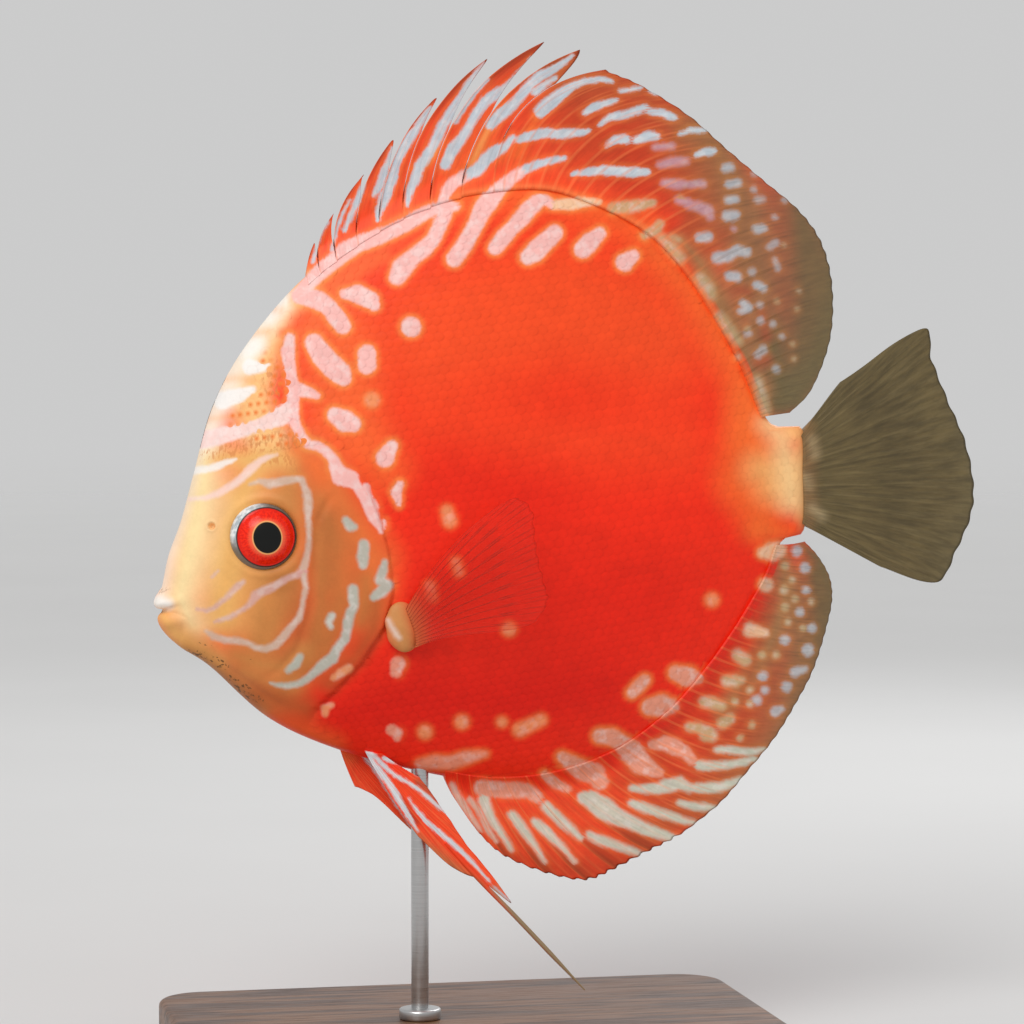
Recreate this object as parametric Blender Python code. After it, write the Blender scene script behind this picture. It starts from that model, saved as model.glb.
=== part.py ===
"""Discus fish: a still display model at life size, held over a flat base by one rod.

The fish is drawn level, snout towards -X and mid-plane in XZ. Its places are in millimetres from
the middle of its disc, and an empty then tips it nose down and lifts it over the base. The world
is in metres, with the origin under the middle of the whole model.
"""

import math

import bmesh
import bpy
import numpy as np
from mathutils import Matrix, Vector

MM = 0.001
COLLECTION = "Discus fish"

# Where the middle of the disc sits over the floor, and how far the snout dips, in degrees
DISC_CENTRE = (-18.8, 0.0, 113.9)
NOSE_DOWN = 8.0

# The gap that every two neighbours keep, and the same gap read along X where it slants
GAP = 0.3
SLANTED_GAP = 0.4
# How far the tip of the first soft ray lies behind and under the tip of the last spine
PARTED_TIP = (0.24, 0.38)

# The flesh seen from the side, round from the upper lip over the back: (x, z)
BODY_OUTLINE = [
    (-67.3, -10.9), (-66.0, -9.5), (-63.8, -3.5), (-60.3, 3.1), (-56.3, 12.4), (-50.8, 24.5),
    (-42.6, 35.3), (-29.5, 46.7), (-13.7, 54.9), (0.1, 58.8), (12.5, 59.5), (24.6, 57.5),
    (39.9, 48.4), (48.8, 37.1), (56.9, 19.1), (61.3, 4.9), (68.0, 2.5), (67.3, -7.2),
    (65.6, -18.1), (60.7, -19.6), (57.0, -26.1), (50.6, -34.3), (42.0, -43.2), (32.4, -51.0),
    (21.1, -56.7), (8.2, -59.3), (-4.1, -58.7), (-16.1, -55.5), (-34.4, -47.7), (-48.3, -38.8),
    (-58.6, -26.7), (-63.9, -22.0), (-66.8, -18.4), (-67.7, -15.7), (-66.7, -14.0),
    (-67.6, -13.5), (-68.0, -12.4),
]
# Half the thickness along the middle of the flank, from snout to tail: (x, half thickness)
FLANK = [
    (-70.0, 5.0), (-66.0, 5.6), (-60.0, 7.2), (-52.0, 9.0), (-44.0, 10.3), (-36.0, 11.4),
    (-27.0, 12.2), (-15.0, 12.6), (0.0, 12.3), (15.0, 11.2), (30.0, 9.3), (45.0, 6.8),
    (55.0, 4.9), (62.0, 3.7), (72.0, 2.9),
]
RIM_HALF = 1.2
PEDUNCLE_RIM_HALF = 2.3
SNOUT_ANGLE = math.radians(190.0)
PEDUNCLE_ANGLE = math.radians(-7.0)
BODY_RAYS = 76
BODY_RINGS = 9
# How much closer the rays of the mesh lie at the mouth and at the tail stalk, and within what angle
SNOUT_CROWDING = 7.0
SNOUT_CROWDING_ANGLE = 0.16
PEDUNCLE_CROWDING = 2.0
PEDUNCLE_CROWDING_ANGLE = 0.25
# The rings of the mesh crowd towards the rim by this power
RING_CROWDING = 1.6
# How roundly the flank falls to the rim: a power for most of it, and what the two ends add
FLANK_POWER = 0.62
FLANK_FULLNESS = 2.1
SNOUT_FULLNESS = 6.5
SNOUT_FULLNESS_ANGLE = 0.5
PEDUNCLE_FULLNESS = 9.0
PEDUNCLE_FULLNESS_ANGLE = 0.3
PEDUNCLE_RIM_ANGLE = 0.2
# Half the depth of a space that cuts right through the fish
CUT_HALF = 30.0

# The mouth, whose line parts the lower jaw from the head: (x, z) from the lips to behind the chin
LOWER_JAW = [(-75.0, -14.1), (-66.7, -14.1), (-62.2, -15.4), (-60.6, -19.0), (-61.5, -33.0), (-75.0, -33.0)]
# The roll of the lips: how far it stands out, where it is along X, and (z, width) of both lips
LIP_SWELL = 0.9
LIP_X = (-66.0, 3.4)
UPPER_LIP = (-12.3, 1.3)
LOWER_LIP = (-16.2, 1.5)
NOSTRIL = (-55.0, 1.4)
NOSTRIL_RADIUS = 0.7

# Each eye is a ball pressed flat towards the flank
EYE_CENTRE = (-45.3, 8.0, -2.0)
EYE_RADIUS = 6.9
EYE_HALF_DEPTH = 4.6

# The rear edge of the head, from the nape round the gill cover to the throat: (x, z)
HEAD_REAR = [
    (-29.8, 60.0), (-29.3, 46.9), (-27.6, 34.2), (-25.5, 18.2), (-23.8, 2.1), (-22.3, -8.0),
    (-22.5, -16.0), (-25.0, -22.7), (-30.0, -29.0), (-35.5, -33.8), (-40.5, -37.8), (-44.0, -42.5),
    (-46.0, -60.0),
]
# The gill cover, round from its upper front; the rear edge of the head trims what lies behind it
GILL_COVER = [
    (-30.0, 5.4), (-33.4, 2.0), (-35.4, -3.5), (-37.0, -10.5), (-39.4, -18.0), (-43.0, -25.2),
    (-46.2, -30.2), (-45.2, -34.6), (-41.2, -37.4), (-35.0, -39.0), (-26.0, -32.0), (-19.0, -20.0),
    (-17.0, -6.0), (-19.5, 3.5), (-24.5, 6.4),
]
GILL_OUTLINE_POINTS = 44
# How far the cover swells outwards, and over which middle and width it does: (x, z)
GILL_SWELL = 0.5
GILL_SWELL_MIDDLE = (-28.0, -12.0)
GILL_SWELL_WIDTH = (9.0, 20.0)
GILL_DEPTH = 2.0
# Where the recess under it is measured: (x, z)
GILL_CORNERS = [(-28.0, 0.0), (-24.0, -17.0), (-40.0, -33.0), (-42.0, -26.0)]
TAIL_STALK_START = 57.6

# Fins seen from the side, one row to a ray: root (x, z), then tip (x, z)
DORSAL_SPINES = [
    (-29.6, 46.2, -26.2, 53.2), (-26.8, 48.2, -21.6, 58.3), (-23.2, 50.4, -14.6, 64.9),
    (-18.6, 52.6, -8.1, 71.0), (-13.8, 54.8, 1.6, 78.1), (-8.6, 56.8, 13.4, 84.6),
    (-2.8, 58.3, 25.5, 86.5), (3.8, 59.2, 32.4, 84.0), (10.5, 59.5, 37.1, 79.4),
]
DORSAL_SOFT = [
    (10.5, 59.5, 37.1, 79.4), (16.5, 59.0, 43.6, 75.6), (24.5, 57.5, 52.9, 68.3),
    (32.5, 54.0, 60.0, 60.5), (40.0, 48.5, 67.0, 53.0), (45.5, 41.5, 73.0, 46.6),
    (50.5, 34.0, 76.9, 39.8), (54.0, 25.5, 78.2, 32.0), (56.8, 18.5, 77.1, 23.5),
    (58.9, 12.6, 74.6, 16.0), (60.1, 8.9, 70.5, 9.6), (60.7, 6.6, 65.6, 6.2),
]
ANAL_SPINES = [
    (-16.0, -55.5, -13.6, -60.8), (-13.5, -56.0, -9.8, -68.2), (-11.0, -56.5, -5.2, -73.8),
    (-7.5, -57.5, 2.5, -78.5), (-4.0, -58.5, 10.5, -81.3), (0.5, -59.0, 17.0, -80.2),
    (5.5, -59.5, 24.5, -77.6), (11.5, -59.0, 31.5, -75.5),
]
ANAL_SOFT = [
    (11.5, -59.0, 31.5, -75.5), (18.0, -57.5, 38.5, -71.6), (24.5, -55.0, 45.0, -66.9),
    (30.5, -52.0, 51.5, -61.0), (36.5, -48.0, 57.0, -55.5), (42.0, -43.0, 61.2, -50.0),
    (47.0, -38.5, 64.8, -44.2), (51.0, -33.5, 67.6, -38.5), (54.5, -29.0, 69.4, -33.0),
    (57.5, -25.4, 69.4, -28.3), (59.2, -22.6, 67.6, -23.8), (60.1, -20.8, 65.2, -20.4),
]
CAUDAL = [
    (68.0, 1.2, 78.0, 11.2), (68.0, 0.2, 95.5, 19.0), (67.9, -1.6, 97.0, 12.5),
    (67.7, -4.0, 99.5, 3.5), (67.4, -6.5, 102.0, -5.0), (67.0, -9.0, 102.5, -13.5),
    (66.7, -11.5, 101.0, -20.5), (66.3, -13.8, 97.0, -27.5), (66.0, -15.6, 91.5, -33.0),
    (65.8, -16.8, 80.5, -28.0),
]
PECTORAL = [
    (-20.5, -20.0, -6.5, -5.5), (-20.3, -21.0, 2.0, -1.0), (-20.0, -22.0, 5.5, -3.5),
    (-19.8, -23.0, 5.5, -8.5), (-19.6, -24.0, 5.5, -13.5), (-19.5, -25.0, 6.0, -18.5),
    (-19.5, -26.0, 6.0, -22.0), (-19.5, -26.8, 2.0, -26.0), (-19.8, -27.6, -7.5, -26.5),
]
# The left pelvic has the filament, as its second ray; the right one reaches further forward
PELVIC_LEFT = [
    (-30.3, -48.8, -22.8, -66.1), (-29.6, -49.0, 6.2, -102.3), (-29.2, -49.1, -6.1, -82.4),
    (-28.4, -49.3, -13.3, -69.4), (-27.6, -49.5, -17.1, -61.6), (-26.4, -49.6, -20.8, -54.5),
]
PELVIC_RIGHT = [
    (-34.8, -47.0, -32.9, -55.2), (-34.2, -47.3, -28.7, -58.3), (-33.6, -47.6, -20.8, -68.1),
    (-33.0, -47.9, -9.1, -79.2), (-32.4, -48.1, -12.2, -73.1), (-31.8, -48.3, -16.3, -65.6),
    (-31.0, -48.5, -20.6, -58.2), (-30.2, -48.7, -24.0, -54.0),
]

FIN_ROOT_HALF = 1.2
RAY_HALF = 0.55
WEB_HALF = 0.27
# The share of a fin's height over which its root flares out to meet the body
ROOT_FLARE = 0.2
# The share of a ray's length that the web reaches, at even steps from one ray to the next
SICKLE = (0.91, 0.78, 0.61)
SICKLE_CLOSING = (0.95, 0.88, 0.80)
COMB = (0.98, 0.96, 0.94)
EVEN = (1.0, 1.0)
PELVIC_WEB = (0.98, 0.97)
BEFORE_FILAMENT = (0.84, 0.645)
BEHIND_FILAMENT = (0.62, 0.76)
# How far the rays bow forward on their way, as a share of their length, for every row or for all
DORSAL_SPINES_BOW = (0.06, 0.12, 0.13, 0.095, 0.1, 0.127, 0.147, 0.15, 0.2)
DORSAL_SOFT_BOW = (0.2, 0.17, 0.14, 0.11, 0.09, 0.07, 0.06, 0.05, 0.04, 0.03, 0.02, 0.0)
ANAL_BOW = -0.05
CAUDAL_BOW = 0.0
PECTORAL_BOW = 0.04
PELVIC_BOW = -0.02
# Where the rows of a fin lie between root and edge; the first is the middle of the root face
FIN_ROWS = [0.0, 0.0, 0.07, 0.2, 0.45, 0.72, 0.93, 1.0]

# The pectoral fans out from the flank, on a fleshy lobe
PECTORAL_OUT = 13.6
PECTORAL_SPLAY = 0.34
PECTORAL_LOBE = (-20.8, 12.4, -23.4)
PECTORAL_LOBE_RADII = (3.4, 2.6, 5.2)
# The pelvics hang from the belly, a little apart: half their distance at the root and lower down
PELVIC_OUT = 2.9
PELVIC_SPREAD = 0.05
PELVIC_HEIGHT = -47.0
PELVIC_SINK = 1.6

# The stand: a flat base and one rod up into the belly
BASE_SIZE = (120.0, 80.0, 8.0)
BASE_X = -20.0
BASE_CORNER = 10.0
BASE_BEVEL = 1.2
ROD_X = -31.1
ROD_RADIUS = 1.75
ROD_FOOT = 4.0
ROD_TOP = 70.0


def bell(value, middle, width):
    """1 at the middle, falling smoothly to 0 a few widths away."""
    return np.exp(-(((value - middle) / width) ** 2))


def spline(rows, places):
    """Rows read at places from 0 (the first row) to 1 (the last), on a smooth curve through them."""
    rows = np.asarray(rows, float)
    spans = len(rows) - 1
    at = np.clip(np.atleast_1d(places), 0.0, 1.0) * spans
    first = np.minimum(at.astype(int), spans - 1)
    t = (at - first)[:, None]
    before = rows[np.maximum(first - 1, 0)]
    start = rows[first]
    end = rows[first + 1]
    after = rows[np.minimum(first + 2, spans)]
    return 0.5 * (
        2 * start
        + (end - before) * t
        + (2 * before - 5 * start + 4 * end - after) * t**2
        + (3 * start - before - 3 * end + after) * t**3
    )


def outline_table():
    """(angles, radii) of the flesh's outline round the middle of the disc, closed on itself."""
    ring = BODY_OUTLINE[-2:] + BODY_OUTLINE + BODY_OUTLINE[:2]
    dense = spline(ring, np.linspace(0.0, 1.0, 8 * len(ring)))
    angles = np.arctan2(dense[:, 1], dense[:, 0]) % math.tau
    order = np.argsort(angles)
    return angles[order], np.hypot(dense[:, 0], dense[:, 1])[order]


OUTLINE_ANGLES, OUTLINE_RADII = outline_table()


def rim_radius(angle):
    return np.interp(np.asarray(angle) % math.tau, OUTLINE_ANGLES, OUTLINE_RADII, period=math.tau)


def angle_from(angle, middle):
    """How far an angle is from a middle one, the short way round."""
    return (np.asarray(angle) - middle + math.pi) % math.tau - math.pi


def rim_half(angle):
    from_peduncle = angle_from(angle, PEDUNCLE_ANGLE)
    return RIM_HALF + (PEDUNCLE_RIM_HALF - RIM_HALF) * bell(from_peduncle, 0, PEDUNCLE_RIM_ANGLE)


def lip_swell(x, z):
    """The roll of the lips on each side of the mouth line."""
    return LIP_SWELL * bell(x, *LIP_X) * (bell(z, *UPPER_LIP) + bell(z, *LOWER_LIP))


def half_thickness(x, z):
    """How far the flank stands from the mid-plane at a place inside the outline."""
    angle = np.arctan2(z, x)
    inward = np.clip(np.hypot(x, z) / rim_radius(angle), 0.0, 1.0)
    from_snout, from_peduncle = angle_from(angle, SNOUT_ANGLE), angle_from(angle, PEDUNCLE_ANGLE)
    fullness = FLANK_FULLNESS + SNOUT_FULLNESS * bell(from_snout, 0, SNOUT_FULLNESS_ANGLE)
    fullness = fullness + PEDUNCLE_FULLNESS * bell(from_peduncle, 0, PEDUNCLE_FULLNESS_ANGLE)
    xs, depths = spline(FLANK, np.linspace(0, 1, 100)).T
    middle = np.interp(x, xs, depths)
    edge = rim_half(angle)
    return edge + (middle - edge) * (1 - inward**fullness) ** FLANK_POWER + lip_swell(x, z)


def make_object(name, mesh, skin, collection):
    obj = bpy.data.objects.new(name, mesh)
    collection.objects.link(obj)
    if skin:
        mesh.materials.append(skin)
    return obj


def finish_mesh(bm, name):
    """A mesh in metres from a bmesh in millimetres, with its normals turned outwards."""
    bmesh.ops.recalc_face_normals(bm, faces=bm.faces)
    bmesh.ops.scale(bm, vec=(MM, MM, MM), verts=bm.verts)
    mesh = bpy.data.meshes.new(name)
    bm.to_mesh(mesh)
    bm.free()
    mesh.shade_smooth()
    mesh.set_sharp_from_angle(angle=math.radians(35))
    return mesh


def material(name, colour, roughness, metallic=0.0):
    made = bpy.data.materials.new(name)
    made.use_nodes = True
    shader = made.node_tree.nodes["Principled BSDF"]
    shader.inputs["Base Color"].default_value = (*colour, 1.0)
    shader.inputs["Roughness"].default_value = roughness
    shader.inputs["Metallic"].default_value = metallic
    return made


def body_mesh(name, grow=0.0):
    """The whole flesh: a ball with its poles on the flanks, pressed into the shape of the disc."""
    angles = np.linspace(0, math.tau, 2000)
    crowding = 1 + SNOUT_CROWDING * bell(angle_from(angles, SNOUT_ANGLE), 0, SNOUT_CROWDING_ANGLE)
    from_peduncle = angle_from(angles, PEDUNCLE_ANGLE)
    crowding += PEDUNCLE_CROWDING * bell(from_peduncle, 0, PEDUNCLE_CROWDING_ANGLE)
    turn = np.concatenate([[0], np.cumsum(crowding)[:-1]])
    turn = turn / turn[-1] * math.tau

    bm = bmesh.new()
    bmesh.ops.create_uvsphere(bm, u_segments=BODY_RAYS, v_segments=2 * BODY_RINGS + 2, radius=1.0)
    bmesh.ops.rotate(bm, cent=(0, 0, 0), matrix=Matrix.Rotation(math.pi / 2, 3, "X"), verts=bm.verts)
    step = math.pi / (2 * BODY_RINGS + 2)
    for vertex in bm.verts:
        x, y, z = vertex.co
        ring = round(math.asin(max(-1.0, min(1.0, abs(y)))) / step)
        angle = float(np.interp(math.atan2(z, x) % math.tau, turn, angles))
        inward = 1 - (max(ring - 1, 0) / BODY_RINGS) ** RING_CROWDING
        reach = float(rim_radius(angle)) * inward
        flat_x = reach * math.cos(angle)
        flat_z = reach * math.sin(angle)
        depth = 0.0 if ring == 0 else float(half_thickness(flat_x, flat_z)) * math.copysign(1.0, y)
        vertex.co = (flat_x, depth, flat_z)
    if grow:
        bmesh.ops.recalc_face_normals(bm, faces=bm.faces)
        bm.normal_update()
        moved = [vertex.co + vertex.normal * grow for vertex in bm.verts]
        for vertex, place in zip(bm.verts, moved):
            vertex.co = place
    return finish_mesh(bm, name)


def outline_solid(name, points, half_depth, collection):
    """A flat outline in XZ given in millimetres, filled and made thick across the mid-plane."""
    curve = bpy.data.curves.new(name, "CURVE")
    curve.dimensions = "2D"
    curve.fill_mode = "BOTH"
    curve.extrude = half_depth * MM
    line = curve.splines.new("POLY")
    line.points.add(len(points) - 1)
    for point, (x, z) in zip(line.points, points):
        point.co = (x * MM, z * MM, 0, 1)
    line.use_cyclic_u = True
    drawn = bpy.data.objects.new(name, curve)
    collection.objects.link(drawn)
    graph = bpy.context.evaluated_depsgraph_get()
    mesh = bpy.data.meshes.new_from_object(drawn.evaluated_get(graph))
    bpy.data.objects.remove(drawn)
    mesh.transform(Matrix.Rotation(math.pi / 2, 4, "X"))
    bm = bmesh.new()
    bm.from_mesh(mesh)
    bmesh.ops.remove_doubles(bm, verts=bm.verts, dist=1e-6)
    bmesh.ops.recalc_face_normals(bm, faces=bm.faces)
    bm.to_mesh(mesh)
    bm.free()
    return make_object(name, mesh, None, collection)


def grown(points, distance):
    """A closed outline moved outwards (or inwards, for a distance below 0) by its corners."""
    points = np.asarray(points, float)
    ahead = np.roll(points, -1, axis=0) - points
    ahead /= np.linalg.norm(ahead, axis=1)[:, None]
    turned = np.sum(points[:, 0] * np.roll(points[:, 1], -1) - points[:, 1] * np.roll(points[:, 0], -1))
    normals = np.stack([ahead[:, 1], -ahead[:, 0]], axis=1) * math.copysign(1.0, turned)
    corner = normals + np.roll(normals, 1, axis=0)
    corner /= np.linalg.norm(corner, axis=1)[:, None]
    reach = distance / np.maximum(np.sum(corner * normals, axis=1), 0.4)
    return [tuple(place) for place in points + corner * reach[:, None]]


def ball_mesh(name, centre, radii, segments=20, rings=10):
    """A ball with a radius of its own along each axis, its poles facing sideways."""
    bm = bmesh.new()
    bmesh.ops.create_uvsphere(bm, u_segments=segments, v_segments=rings, radius=1.0)
    bmesh.ops.rotate(bm, cent=(0, 0, 0), matrix=Matrix.Rotation(math.pi / 2, 3, "X"), verts=bm.verts)
    bmesh.ops.scale(bm, vec=radii, verts=bm.verts)
    bmesh.ops.translate(bm, vec=centre, verts=bm.verts)
    return finish_mesh(bm, name)


def boolean(obj, operation, other):
    """One Boolean with another object, applied, so that the next step reads a plain mesh."""
    modifier = obj.modifiers.new(f"{operation.lower()} {other.name}", "BOOLEAN")
    modifier.operation = operation
    modifier.object = other
    modifier.solver = "EXACT"
    apply_modifiers(obj)


def apply_modifiers(obj):
    graph = bpy.context.evaluated_depsgraph_get()
    mesh = bpy.data.meshes.new_from_object(obj.evaluated_get(graph))
    obj.modifiers.clear()
    old = obj.data
    obj.data = mesh
    bpy.data.meshes.remove(old)
    keep_largest(obj)


def keep_largest(obj):
    """Drops every closed surface of the mesh but its largest."""
    bm = bmesh.new()
    bm.from_mesh(obj.data)
    bmesh.ops.remove_doubles(bm, verts=bm.verts, dist=1e-6)
    bmesh.ops.dissolve_degenerate(bm, edges=bm.edges, dist=1e-6)
    unseen = set(bm.verts)
    islands = []
    while unseen:
        island = [unseen.pop()]
        for vertex in island:
            for edge in vertex.link_edges:
                other = edge.other_vert(vertex)
                if other in unseen:
                    unseen.remove(other)
                    island.append(other)
        islands.append(island)
    islands.sort(key=len)
    bmesh.ops.delete(bm, geom=[vertex for island in islands[:-1] for vertex in island], context="VERTS")
    bm.to_mesh(obj.data)
    bm.free()


def build_head(cutters, parts, flesh):
    """The head with its lower jaw, gill covers, eye sockets and nostrils cut from the flesh."""
    rear = [tuple(place) for place in spline(HEAD_REAR, np.linspace(0, 1, 3 * len(HEAD_REAR)))]
    front = [(-90.0, 60.0), *rear, (-90.0, -60.0)]
    head_space = outline_solid("head space", front, CUT_HALF, cutters)
    head = make_object("head", body_mesh("head"), flesh["head"], parts)
    boolean(head, "INTERSECT", head_space)

    jaw_space = outline_solid("jaw space", LOWER_JAW, CUT_HALF, cutters)
    jaw = make_object("lower_jaw", body_mesh("lower_jaw"), flesh["head"], parts)
    boolean(jaw, "INTERSECT", jaw_space)
    jaw_slot = outline_solid("jaw slot", grown(LOWER_JAW, GAP), CUT_HALF, cutters)
    boolean(head, "DIFFERENCE", jaw_slot)

    torso = make_object("torso", body_mesh("torso"), flesh["flank"], parts)
    head_slot = outline_solid("head slot", grown(front, GAP), CUT_HALF, cutters)
    boolean(torso, "DIFFERENCE", head_slot)
    for side, name in ((-1, "left"), (1, "right")):
        cover = build_gill_cover(side, name, head, cutters, parts, flesh["head"])
        boolean(cover, "INTERSECT", head_space)
        build_eye(side, name, head, cutters, parts)
        nostril_x, nostril_z = NOSTRIL
        centre = (nostril_x, side * float(half_thickness(nostril_x, nostril_z)), nostril_z)
        pit_mesh = ball_mesh("nostril", centre, (NOSTRIL_RADIUS,) * 3, 8, 6)
        boolean(head, "DIFFERENCE", make_object(f"nostril {name}", pit_mesh, None, cutters))
    return torso


def gill_floor(side, depth):
    """A tilted plane under the gill cover, as (y at the origin, slope in x, slope in z)."""
    rows = [(1.0, x, z) for x, z in GILL_CORNERS]
    heights = [float(half_thickness(x, z)) - depth for x, z in GILL_CORNERS]
    return side * np.linalg.lstsq(np.array(rows), np.array(heights), rcond=None)[0]


def slab_over(plane, name, points, side, collection):
    """An outline made thick from far outside one flank down to a tilted plane under it."""
    slab = outline_solid(name, points, CUT_HALF, collection)
    for vertex in slab.data.vertices:
        if vertex.co.y * side < 0:
            x, z = vertex.co.x / MM, vertex.co.z / MM
            vertex.co.y = float(plane @ np.array([1.0, x, z])) * MM
    return slab


def build_gill_cover(side, name, head, cutters, parts, skin):
    """One gill cover: a slightly swollen plate of the flank, in a recess of the head."""
    cover = make_object(f"gill_cover_{name}", body_mesh("gill_cover"), skin, parts)
    for vertex in cover.data.vertices:
        x, z = vertex.co.x / MM, vertex.co.z / MM
        swell = GILL_SWELL * bell(x, GILL_SWELL_MIDDLE[0], GILL_SWELL_WIDTH[0])
        swell *= bell(z, GILL_SWELL_MIDDLE[1], GILL_SWELL_WIDTH[1])
        vertex.co.y += math.copysign(swell * MM, vertex.co.y) if abs(vertex.co.y) > 2 * MM else 0.0
    ring = spline([*GILL_COVER, GILL_COVER[0]], np.linspace(0, 1, GILL_OUTLINE_POINTS)[:-1])
    outline = [tuple(place) for place in ring]
    floor = gill_floor(side, GILL_DEPTH)
    boolean(cover, "INTERSECT", slab_over(floor, f"cover space {name}", outline, side, cutters))
    recess = gill_floor(side, GILL_DEPTH + GAP)
    slot = slab_over(recess, f"cover slot {name}", grown(outline, GAP), side, cutters)
    boolean(head, "DIFFERENCE", slot)
    return cover


def build_eye(side, name, head, cutters, parts):
    """One eyeball, in a socket that keeps the gap all round it."""
    x, y, z = EYE_CENTRE
    radii = (EYE_RADIUS, EYE_HALF_DEPTH, EYE_RADIUS)
    ball = ball_mesh(f"eye_{name}", (x, side * y, z), radii)
    make_object(f"eye_{name}", ball, material(f"eye_{name}", (0.75, 0.06, 0.03), 0.12), parts)
    socket = ball_mesh("socket", (x, side * y, z), tuple(radius + GAP for radius in radii))
    boolean(head, "DIFFERENCE", make_object(f"socket {name}", socket, None, cutters))


def build_tail_stalk(torso, cutters, parts, skin):
    """The short stalk that carries the tail fin, parted from the torso by a plain cut."""
    behind = [(TAIL_STALK_START, 40.0), (90.0, 40.0), (90.0, -40.0), (TAIL_STALK_START, -40.0)]
    stalk = make_object("tail_stalk", body_mesh("tail_stalk"), skin, parts)
    boolean(stalk, "INTERSECT", outline_solid("stalk space", behind, CUT_HALF, cutters))
    boolean(torso, "DIFFERENCE", outline_solid("stalk slot", grown(behind, GAP), CUT_HALF, cutters))


def rim_place(angles, away):
    """Places on the outline of the flesh, moved straight out from it."""
    ahead = 0.004
    radius = rim_radius(angles)
    x = radius * np.cos(angles)
    z = radius * np.sin(angles)
    wide = rim_radius(angles + ahead)
    along = np.stack([wide * np.cos(angles + ahead) - x, wide * np.sin(angles + ahead) - z], axis=1)
    along /= np.linalg.norm(along, axis=1)[:, None]
    return np.stack([x, z], axis=1) + away * np.stack([along[:, 1], -along[:, 0]], axis=1)


def fin_columns(webs):
    """(place along the fin, is a ray, length) for each column: a ray, then the web behind it.

    webs has the lengths of every web in turn, and there is one ray more than there are webs.
    """
    columns = []
    for ray, lengths in enumerate(webs):
        columns.append((ray / len(webs), True, 1.0))
        for web, length in enumerate(lengths, 1):
            columns.append(((ray + web / (len(lengths) + 1)) / len(webs), False, length))
    return [*columns, (1.0, True, 1.0)]


def fin_mesh(name, rows, columns, bow, on_rim, middle):
    """A fin as one thin closed sheet with its rays raised in it, the same on both faces.

    rows hold the root and the tip of its rays, bow how far a ray leans forward on its way (one
    number, or one for every row), and middle gives the sheet's distance from the mid-plane at a
    place seen from the side.
    """
    columns = [columns[0], *columns, columns[-1]]
    places = np.array([column[0] for column in columns])
    read = spline(rows, places)
    roots, tips = read[:, :2], read[:, 2:]
    if on_rim:
        roots = rim_place(np.arctan2(roots[:, 1], roots[:, 0]), GAP)
    along = tips - roots
    bow = np.atleast_1d(bow)
    lean = np.stack([-along[:, 1], along[:, 0]], axis=1)
    lean *= np.interp(places, np.linspace(0, 1, len(bow)), bow)[:, None]

    bm = bmesh.new()
    last_column = len(columns) - 1
    last_row = len(FIN_ROWS) - 1
    bmesh.ops.create_grid(bm, x_segments=last_column, y_segments=last_row, size=1.0)
    for vertex in bm.verts:
        i = round((vertex.co.x + 1) / 2 * last_column)
        j = round((vertex.co.y + 1) / 2 * last_row)
        reach = FIN_ROWS[j] * columns[i][2]
        x, z = roots[i] + along[i] * reach + lean[i] * 4 * reach * (1 - reach)
        flat = WEB_HALF
        if columns[i][1]:
            flat = RAY_HALF + (WEB_HALF - RAY_HALF) * FIN_ROWS[j] ** 2
        half = flat + (FIN_ROOT_HALF - flat) * max(0.0, 1 - FIN_ROWS[j] / ROOT_FLARE) ** 2
        if i in (0, last_column) or j in (0, last_row):
            half = 0.0
        vertex.co = (x, -half, z)
    bmesh.ops.remove_doubles(bm, verts=bm.verts, dist=1e-4)
    bmesh.ops.triangulate(bm, faces=bm.faces)
    bmesh.ops.mirror(bm, geom=[*bm.verts, *bm.edges, *bm.faces], axis="Y", merge_dist=1e-4)
    for vertex in bm.verts:
        vertex.co.y += middle(vertex.co.x, vertex.co.z)
    return finish_mesh(bm, name)


def on_mid_plane(x, z):
    return 0.0


def build_upright_fins(parts, skin):
    """The fins that stand on the mid-plane, each on its stretch of the rim."""
    made = {
        "dorsal_fin_spiny": (DORSAL_SPINES, [SICKLE] * 7 + [SICKLE_CLOSING], DORSAL_SPINES_BOW),
        "dorsal_fin_soft": (DORSAL_SOFT, [EVEN] * 16, DORSAL_SOFT_BOW),
        "anal_fin_spiny": (ANAL_SPINES, [COMB] * 7, ANAL_BOW),
        "anal_fin_soft": (ANAL_SOFT, [EVEN] * 14, ANAL_BOW),
        "caudal_fin": (CAUDAL, [EVEN] * 13, CAUDAL_BOW),
    }
    for name, (rows, webs, bow) in made.items():
        rows = list(rows)
        if name.endswith("soft"):
            rows[0] = parted_row(rows[0])
        mesh = fin_mesh(name, rows, fin_columns(webs), bow, True, on_mid_plane)
        make_object(name, mesh, skin[name], parts)


def parted_row(row):
    """The first ray of a soft fin, moved by the gap from the last spine, whose tip it lies under."""
    root_x, root_z, tip_x, tip_z = row
    return root_x + SLANTED_GAP, root_z, tip_x + PARTED_TIP[0], tip_z - math.copysign(PARTED_TIP[1], tip_z)


def sunk(row, depth):
    """A row of a fin with its root moved inwards along the ray, to be cut where the flesh ends."""
    root, tip = np.array(row[:2]), np.array(row[2:])
    along = (tip - root) / np.linalg.norm(tip - root)
    return *(root - along * depth), *tip


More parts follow.
